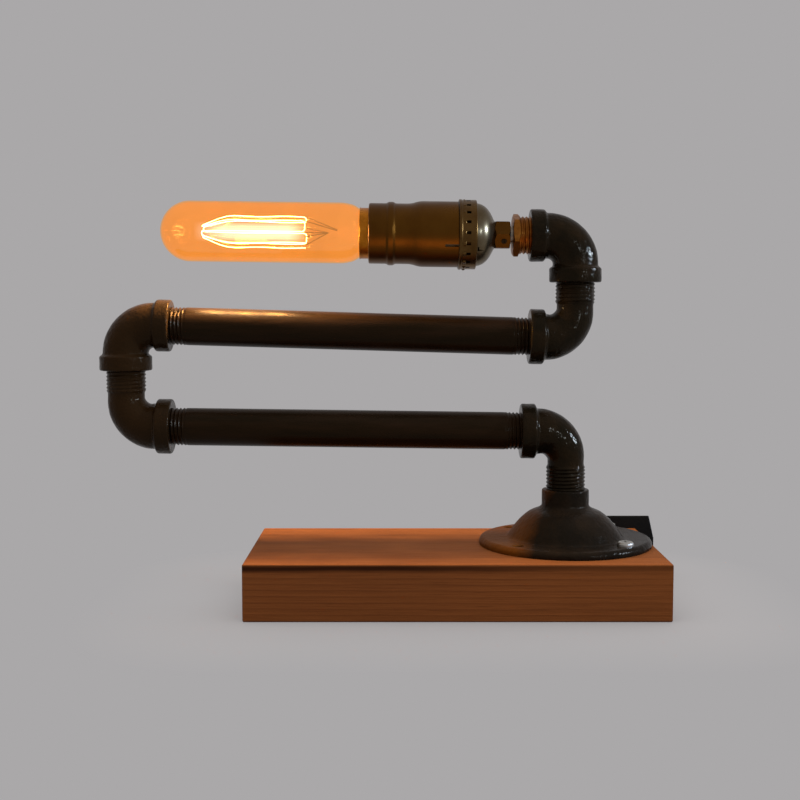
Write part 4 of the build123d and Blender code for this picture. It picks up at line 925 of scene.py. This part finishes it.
def shell():
    """Spun shell with a taper, a bead, a curled lip and a slit at the cap."""
    outer = [
        (SHELL_START, SHELL_RADIUS),
        (SHELL_AT + 21.9, SHELL_RADIUS, 2.2),
        (SHELL_AT + 26.6, SHELL_NECK_RADIUS, 2.4),
        (SHELL_AT + 35.4, SHELL_NECK_RADIUS, 1.0),
        (SHELL_AT + 36.6, 17.75, 1.0),
        (SHELL_AT + 39.2, 17.75, 1.0),
        (SHELL_AT + 40.4, SHELL_NECK_RADIUS, 1.0),
        (SHELL_END - 0.2, SHELL_NECK_RADIUS, 1.6),
        (SHELL_END, 15.0, 0.7),
        (SHELL_END - 1.3, 15.0, 0.5),
        (SHELL_END - 1.3, 16.1, 0.4),
    ]
    inner = [(distance, radius - SHEET, ease) for distance, radius, ease in reversed(outer[1:7])]
    outline = outer + inner + [(SHELL_START, SHELL_RADIUS - SHEET)]
    made = turned("shell_spun", head, outline, segments=144)
    slit = (spoke_frame(SHELL_AT + 2.2, 22.5) @ Matrix.Translation((0, 17.5, 0)), SLIT_SIZE)
    cut(made, boxes("slit", [slit]))
    # its look paints the shell's part inside the cap near black as shade
    return fitted(made, "head", "aged_brass", "socket_shell", look="shell_brass_shaded_in_cap")


def bulb_base():
    """Brass screw base: rolled thread closed towards the contact, and a flared skirt."""
    skirt = BASE_END - BASE_SKIRT
    outline = [
        (BASE_START, 9.95),
        (BASE_START + 0.2, 10.5, 0.3),
        (BASE_START + 2.2, BASE_RADIUS, 0.6),
        (skirt - 1.2, BASE_RADIUS, 0.5),
        (skirt, 14.2, 0.6),
        (BASE_END - 0.6, 14.2, 0.3),
        (BASE_END, 14.6, 0.3),
        (BASE_END, 13.85, 0.2),
        (skirt + 0.2, 13.8, 0.4),
        (skirt - 1.0, 12.7, 0.4),
        (BASE_START + 2.5, 12.7, 0.4),
        (BASE_START + 0.6, 10.2, 0.2),
    ]
    change = threaded(BASE_START + 2.4, skirt - 1.6, 0.6, 12.6, runout=0.4, pitch=BULB_PITCH)
    made = turned("base_rolled", head, outline, change, step=0.6)
    return fitted(made, "bulb", "base_brass", "bulb_base")


def round_tip(centre, radius):
    """Quarter circle in (distance, radius), which stops short of the axis."""
    steps = 16
    angles = [math.pi / 2 * index / steps for index in range(steps)]
    return [(centre + radius * math.sin(angle), radius * math.cos(angle)) for angle in angles]


def glass():
    """Tubular envelope with a round tip, sealed in the base's skirt."""
    neck, body = GLASS_NECK_RADIUS, GLASS_RADIUS
    seat, shoulder, tip = BASE_END - 5.4, BASE_END + 9.0, GLASS_TIP - body
    outer = [(seat, neck), (BASE_END, neck, 1.0), (BASE_END + 3.4, neck + 2.2, 2.6), (shoulder, body, 3.5)]
    outer += round_tip(tip, body) + [(GLASS_TIP, 0)]
    inner = [(GLASS_TIP - SHEET, 0)] + round_tip(tip, body - SHEET)[::-1]
    inner += [(shoulder, body - SHEET, 3.5), (BASE_END + 3.6, neck + 1.4, 2.6)]
    inner += [(BASE_END, neck - SHEET, 1.0), (seat, neck - SHEET)]
    made = closed_shell("glass_envelope", head, outer, inner)
    made.visible_shadow = False
    return fitted(made, "bulb", "clear_glass", "bulb_glass")


def closed_shell(name, way, outer, inner):
    """Closed wall that ends on the axis: an outer and an inner outline joined at their open ends."""
    sides = [turned(name + "_side", way, outline, closed=False, step=1.6) for outline in (outer, inner)]
    bm = bmesh.new()
    for side in sides:
        bm.from_mesh(side.data)
    rims = [edge for edge in bm.edges if edge.is_boundary]
    bmesh.ops.bridge_loops(bm, edges=rims)
    mesh = bpy.data.meshes.new(name)
    bm.to_mesh(mesh)
    bm.free()
    for side in sides:
        bpy.data.objects.remove(side)
    shade(mesh, 50)
    return placed(name, mesh)


def head_point(distance, radius, below_front):
    """Point in mm in the head: along its axis, out from it, at an angle below the front."""
    return spoke_frame(distance, below_front) @ Vector((0, radius, 0))


def rounded_run(corners, bends):
    """Line in mm through corners, each rounded by its bend."""
    points = [corners[0]]
    for before, here, after, bend in zip(corners, corners[1:], corners[2:], bends):
        points += rounded(before, here, after, bend, 5)
    points.append(corners[-1])
    return points


def cage():
    """Line of the filament: one wire led up and down round the axis, its legs a little wavy."""
    corners, bends = [], []
    for leg in range(FILAMENT_LEGS):
        angle = 360 / FILAMENT_LEGS * leg + 90
        bow = 0.45 * (-1) ** (leg // 2)
        middle = [
            (FILAMENT_FOOT[0] + 12, FILAMENT_FOOT[1] + bow),
            (FILAMENT_FOOT[0] + 26, FILAMENT_FOOT[1] - bow * 0.6),
        ]
        run = [FILAMENT_FOOT, *middle, FILAMENT_KNEE, FILAMENT_TOP]
        round_by = [2.0, 7.0, 7.0, 7.0, 0.9]
        places = [head_point(distance, radius, angle) for distance, radius in run]
        if leg % 2:
            places.reverse()
            round_by.reverse()
        corners += places
        bends += round_by
    return rounded_run(corners, bends[1:-1])


def filament():
    """Glowing wire of the cage."""
    made = wire("filament_cage", cage(), FILAMENT_RADIUS, 10)
    return fitted(made, "bulb", "glowing_filament", "bulb_filament")


# ---------------------------------------------------------------- carried-over nodes
KEPT = {
    "wood": ["wood_base"],
    "zinc_screw": ["flange_screws", "housing_screws", "terminal_screws"],
    "dark_steel": ["set_screw"],
    "black_moulding": ["housing_body", "housing_lid", "cord_gland", "gland_locknut", "switch_body"],
    "gloss_rocker": ["rocker"],
    "terminal_brass": ["switch_terminals", "socket_terminals", "screw_shell", "centre_contact"],
    "pale_moulding": ["terminal_block"],
    "lead_sheath": ["lead_base", "lead_lower_arm", "lead_upper_arm", "lead_head"],
    "zinc_tube": ["threaded_nipple", "nipple_nut"],
    "aged_brass": ["collar"],
    "liner_paper": ["socket_liner"],
    "dark_moulding": ["socket_core"],
    "black_glass": ["bulb_insulator"],
    "solder": ["bulb_contact"],
    "stem_glass": ["bulb_stem"],
    "support_wire": ["bulb_supports", "bulb_lead_wires"],
}


def finish_kept_nodes():
    """Gives every CAD node that stays its finish."""
    for name, nodes in KEPT.items():
        for node in nodes:
            for slot in frame["nodes"][node].material_slots:
                slot.material = finishes[name]


# ---------------------------------------------------------------- stage, lights and camera
GREY = tone(170, 168, 169)
SKY = {"From Min": 0.25, "From Max": 1.0, "To Min": 0.0, "To Max": 3.0}
SKY_COLOUR = (1.0, 0.97, 0.95, 1)
FLOOR_HALF = 6.0
SHADOW_REACH = 0.09            # how far beside the block the floor fades into the backdrop
PANE_COLOUR = (0.55, 0.72, 1.0)
PANES = [                      # name, place, size and power of the lights that the castings' gloss shows
    ("pane_front", (0.72, -0.92, 0.4), (0.02, 0.06), 2.8),
    ("pane_right", (1.08, -0.2, 0.44), (0.03, 0.1), 14.0),
]
BOUNCE_COLOUR = (1.0, 0.5, 0.15)
BULB_COLOUR = (1.0, 0.72, 0.38)
BULB_LAMPS = [                 # kind, distances along the head in mm, power and radius
    ("filament", (172, 190, 208), 0.6, 0.005),
    ("glow", (160, 188, 214), 1.05, 0.015),
]
BULB_LAMPS_BEHIND = 5          # mm to the rear of the head's axis
CAMERA_PLACE = (-0.0305, -0.699, 0.1672)
CAMERA_PITCH = 85.64
CAMERA_LENS = 55.8


def seen_or_mirrored(tree):
    """Share that is 1 for what the camera sees, directly, in gloss or through glass."""
    rays = tree.nodes.new("ShaderNodeLightPath")
    share = rays.outputs["Is Camera Ray"]
    for other in ("Is Glossy Ray", "Is Transmission Ray"):
        either = tree.nodes.new("ShaderNodeMath")
        either.operation = "MAXIMUM"
        tree.links.new(share, either.inputs[0])
        tree.links.new(rays.outputs[other], either.inputs[1])
        share = either.outputs[0]
    return share


def world():
    """Grey backdrop; its light is soft and comes mostly from above."""
    made = bpy.data.worlds.new("studio")
    made.use_nodes = True
    tree = made.node_tree
    shown = tree.nodes["Background"]
    shown.inputs["Color"].default_value = GREY
    height = tree.nodes.new("ShaderNodeSeparateXYZ")
    tree.links.new(tree.nodes.new("ShaderNodeTexCoord").outputs["Generated"], height.inputs[0])
    sky = tree.nodes.new("ShaderNodeMapRange")
    tree.links.new(height.outputs["Z"], sky.inputs["Value"])
    for key, value in SKY.items():
        sky.inputs[key].default_value = value
    lit = tree.nodes.new("ShaderNodeBackground")
    lit.inputs["Color"].default_value = SKY_COLOUR
    tree.links.new(sky.outputs["Result"], lit.inputs["Strength"])
    mixed = tree.nodes.new("ShaderNodeMixShader")
    tree.links.new(seen_or_mirrored(tree), mixed.inputs[0])
    tree.links.new(lit.outputs[0], mixed.inputs[1])
    tree.links.new(shown.outputs[0], mixed.inputs[2])
    tree.links.new(mixed.outputs[0], tree.nodes["World Output"].inputs["Surface"])
    bpy.context.scene.world = made


def floor():
    """Plain floor in the background's grey that keeps the object's shadow near it."""
    corners = [(FLOOR_HALF * x, FLOOR_HALF * y, 0) for x, y in ((-1, -1), (1, -1), (1, 1), (-1, 1))]
    mesh = bpy.data.meshes.new("floor")
    mesh.from_pydata(corners, [], [(0, 1, 2, 3)])
    made = placed("floor", mesh)
    paint = Finish("floor", roughness=0.9, specular_ior_level=0.0, base_color=tone(150, 148, 149))
    plain = paint.node("ShaderNodeEmission", {"Color": GREY})
    beyond = []
    for axis, half in (("X", wood_high.x), ("Y", wood_high.y)):
        outward = paint.math("SUBTRACT", paint.math("ABSOLUTE", paint.axis(axis)), half)
        beyond.append(paint.math("MAXIMUM", outward))
    fade = paint.spread(paint.hypotenuse(*beyond), 0.0, SHADOW_REACH, 0.45, 1.0)
    share = paint.times(fade, seen_or_mirrored(paint.tree))
    paint.show(share, paint.shader, plain)
    mesh.materials.append(paint.material)
    return made


def area_light(name, place, target, size, power, colour):
    """Rectangular light turned to its target."""
    light = bpy.data.lights.new(name, "AREA")
    light.shape = "RECTANGLE"
    light.size, light.size_y = size
    light.energy = power
    light.color = colour
    made = placed(name, light)
    made.location = place
    made.rotation_euler = (Vector(target) - Vector(place)).to_track_quat("-Z", "Y").to_euler()
    return made


def linked_to(lamp, things):
    """Collection of the things that a lamp's light is linked to."""
    linked = bpy.data.collections.new(lamp.name + "_linked")
    for thing in things:
        linked.objects.link(thing)
    lamp.light_linking.receiver_collection = linked
    return linked


def leave_out(lamp, things):
    """Keeps a lamp's light off some things."""
    for entry in linked_to(lamp, things).collection_objects:
        entry.light_linking.link_state = "EXCLUDE"


def bulb_light(*unlit):
    """Warm light that swings with the bulb, from narrow lamps for the filament and wide ones for the glass."""
    for kind, distances, power, radius in BULB_LAMPS:
        for distance in distances:
            light = bpy.data.lights.new(f"bulb_{kind}_{distance}", "POINT")
            light.energy = power
            light.color = BULB_COLOUR
            light.shadow_soft_size = radius
            made = placed(light.name, light)
            made.location = head_point(distance, BULB_LAMPS_BEHIND, 180) * MM
            made.visible_camera = False
            made.visible_glossy = kind == "filament"
            leave_out(made, unlit)
            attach(made, "bulb")


def studio_lights(holder, unlit):
    """Light thrown back from the table onto the holder, and two pale panes that the castings mirror."""
    bounce = area_light("bounce", (0.03, -0.2, 0.01), (0.03, 0, 0.2), (0.5, 0.2), 0.5, BOUNCE_COLOUR)
    bounce.visible_camera = False
    linked_to(bounce, holder)
    for name, place, size, power in PANES:
        leave_out(area_light(name, place, (0, 0, 0.12), size, power, PANE_COLOUR), unlit)


def camera():
    """Camera at the photo's angle."""
    made = placed("camera", bpy.data.cameras.new("camera"))
    made.location = CAMERA_PLACE
    made.rotation_euler = (math.radians(CAMERA_PITCH), 0, 0)
    made.data.lens = CAMERA_LENS
    made.data.clip_start = 0.01
    bpy.context.scene.camera = made


# ---------------------------------------------------------------- build
camera()
world()
ground = floor()
floor_flange()
street_elbow("street_elbow_lower_right", corner_1, lower_way, -UP, FLANGE_ENGAGEMENT, "lower_arm")
pipe("lower_pipe", corner_1, corner_2, "lower_arm")
street_elbow("street_elbow_lower_left", corner_2, -lower_way, UP, LEFT_ENGAGEMENT, "lower_arm")
elbow("elbow_upper_left", corner_3, -middle_way, "upper_arm")
pipe("middle_pipe", corner_4, corner_3, "upper_arm")
street_elbow("street_elbow_upper_right", corner_4, middle_way, UP, RIGHT_ENGAGEMENT, "upper_arm")
elbow("elbow_top_right", corner_5, head_way, "head")
cap_and_vents()
louvres()
holder = [bushing(), shell(), frame["nodes"]["collar"]]
bulb_base()
envelope = glass()
filament()
finish_kept_nodes()
bulb_light(ground, envelope, frame["nodes"]["bulb_stem"], frame["nodes"]["bulb_supports"])
studio_lights(holder, [ground, envelope, frame["nodes"]["wood_base"]])

bpy.context.scene.view_settings.view_transform = "Standard"
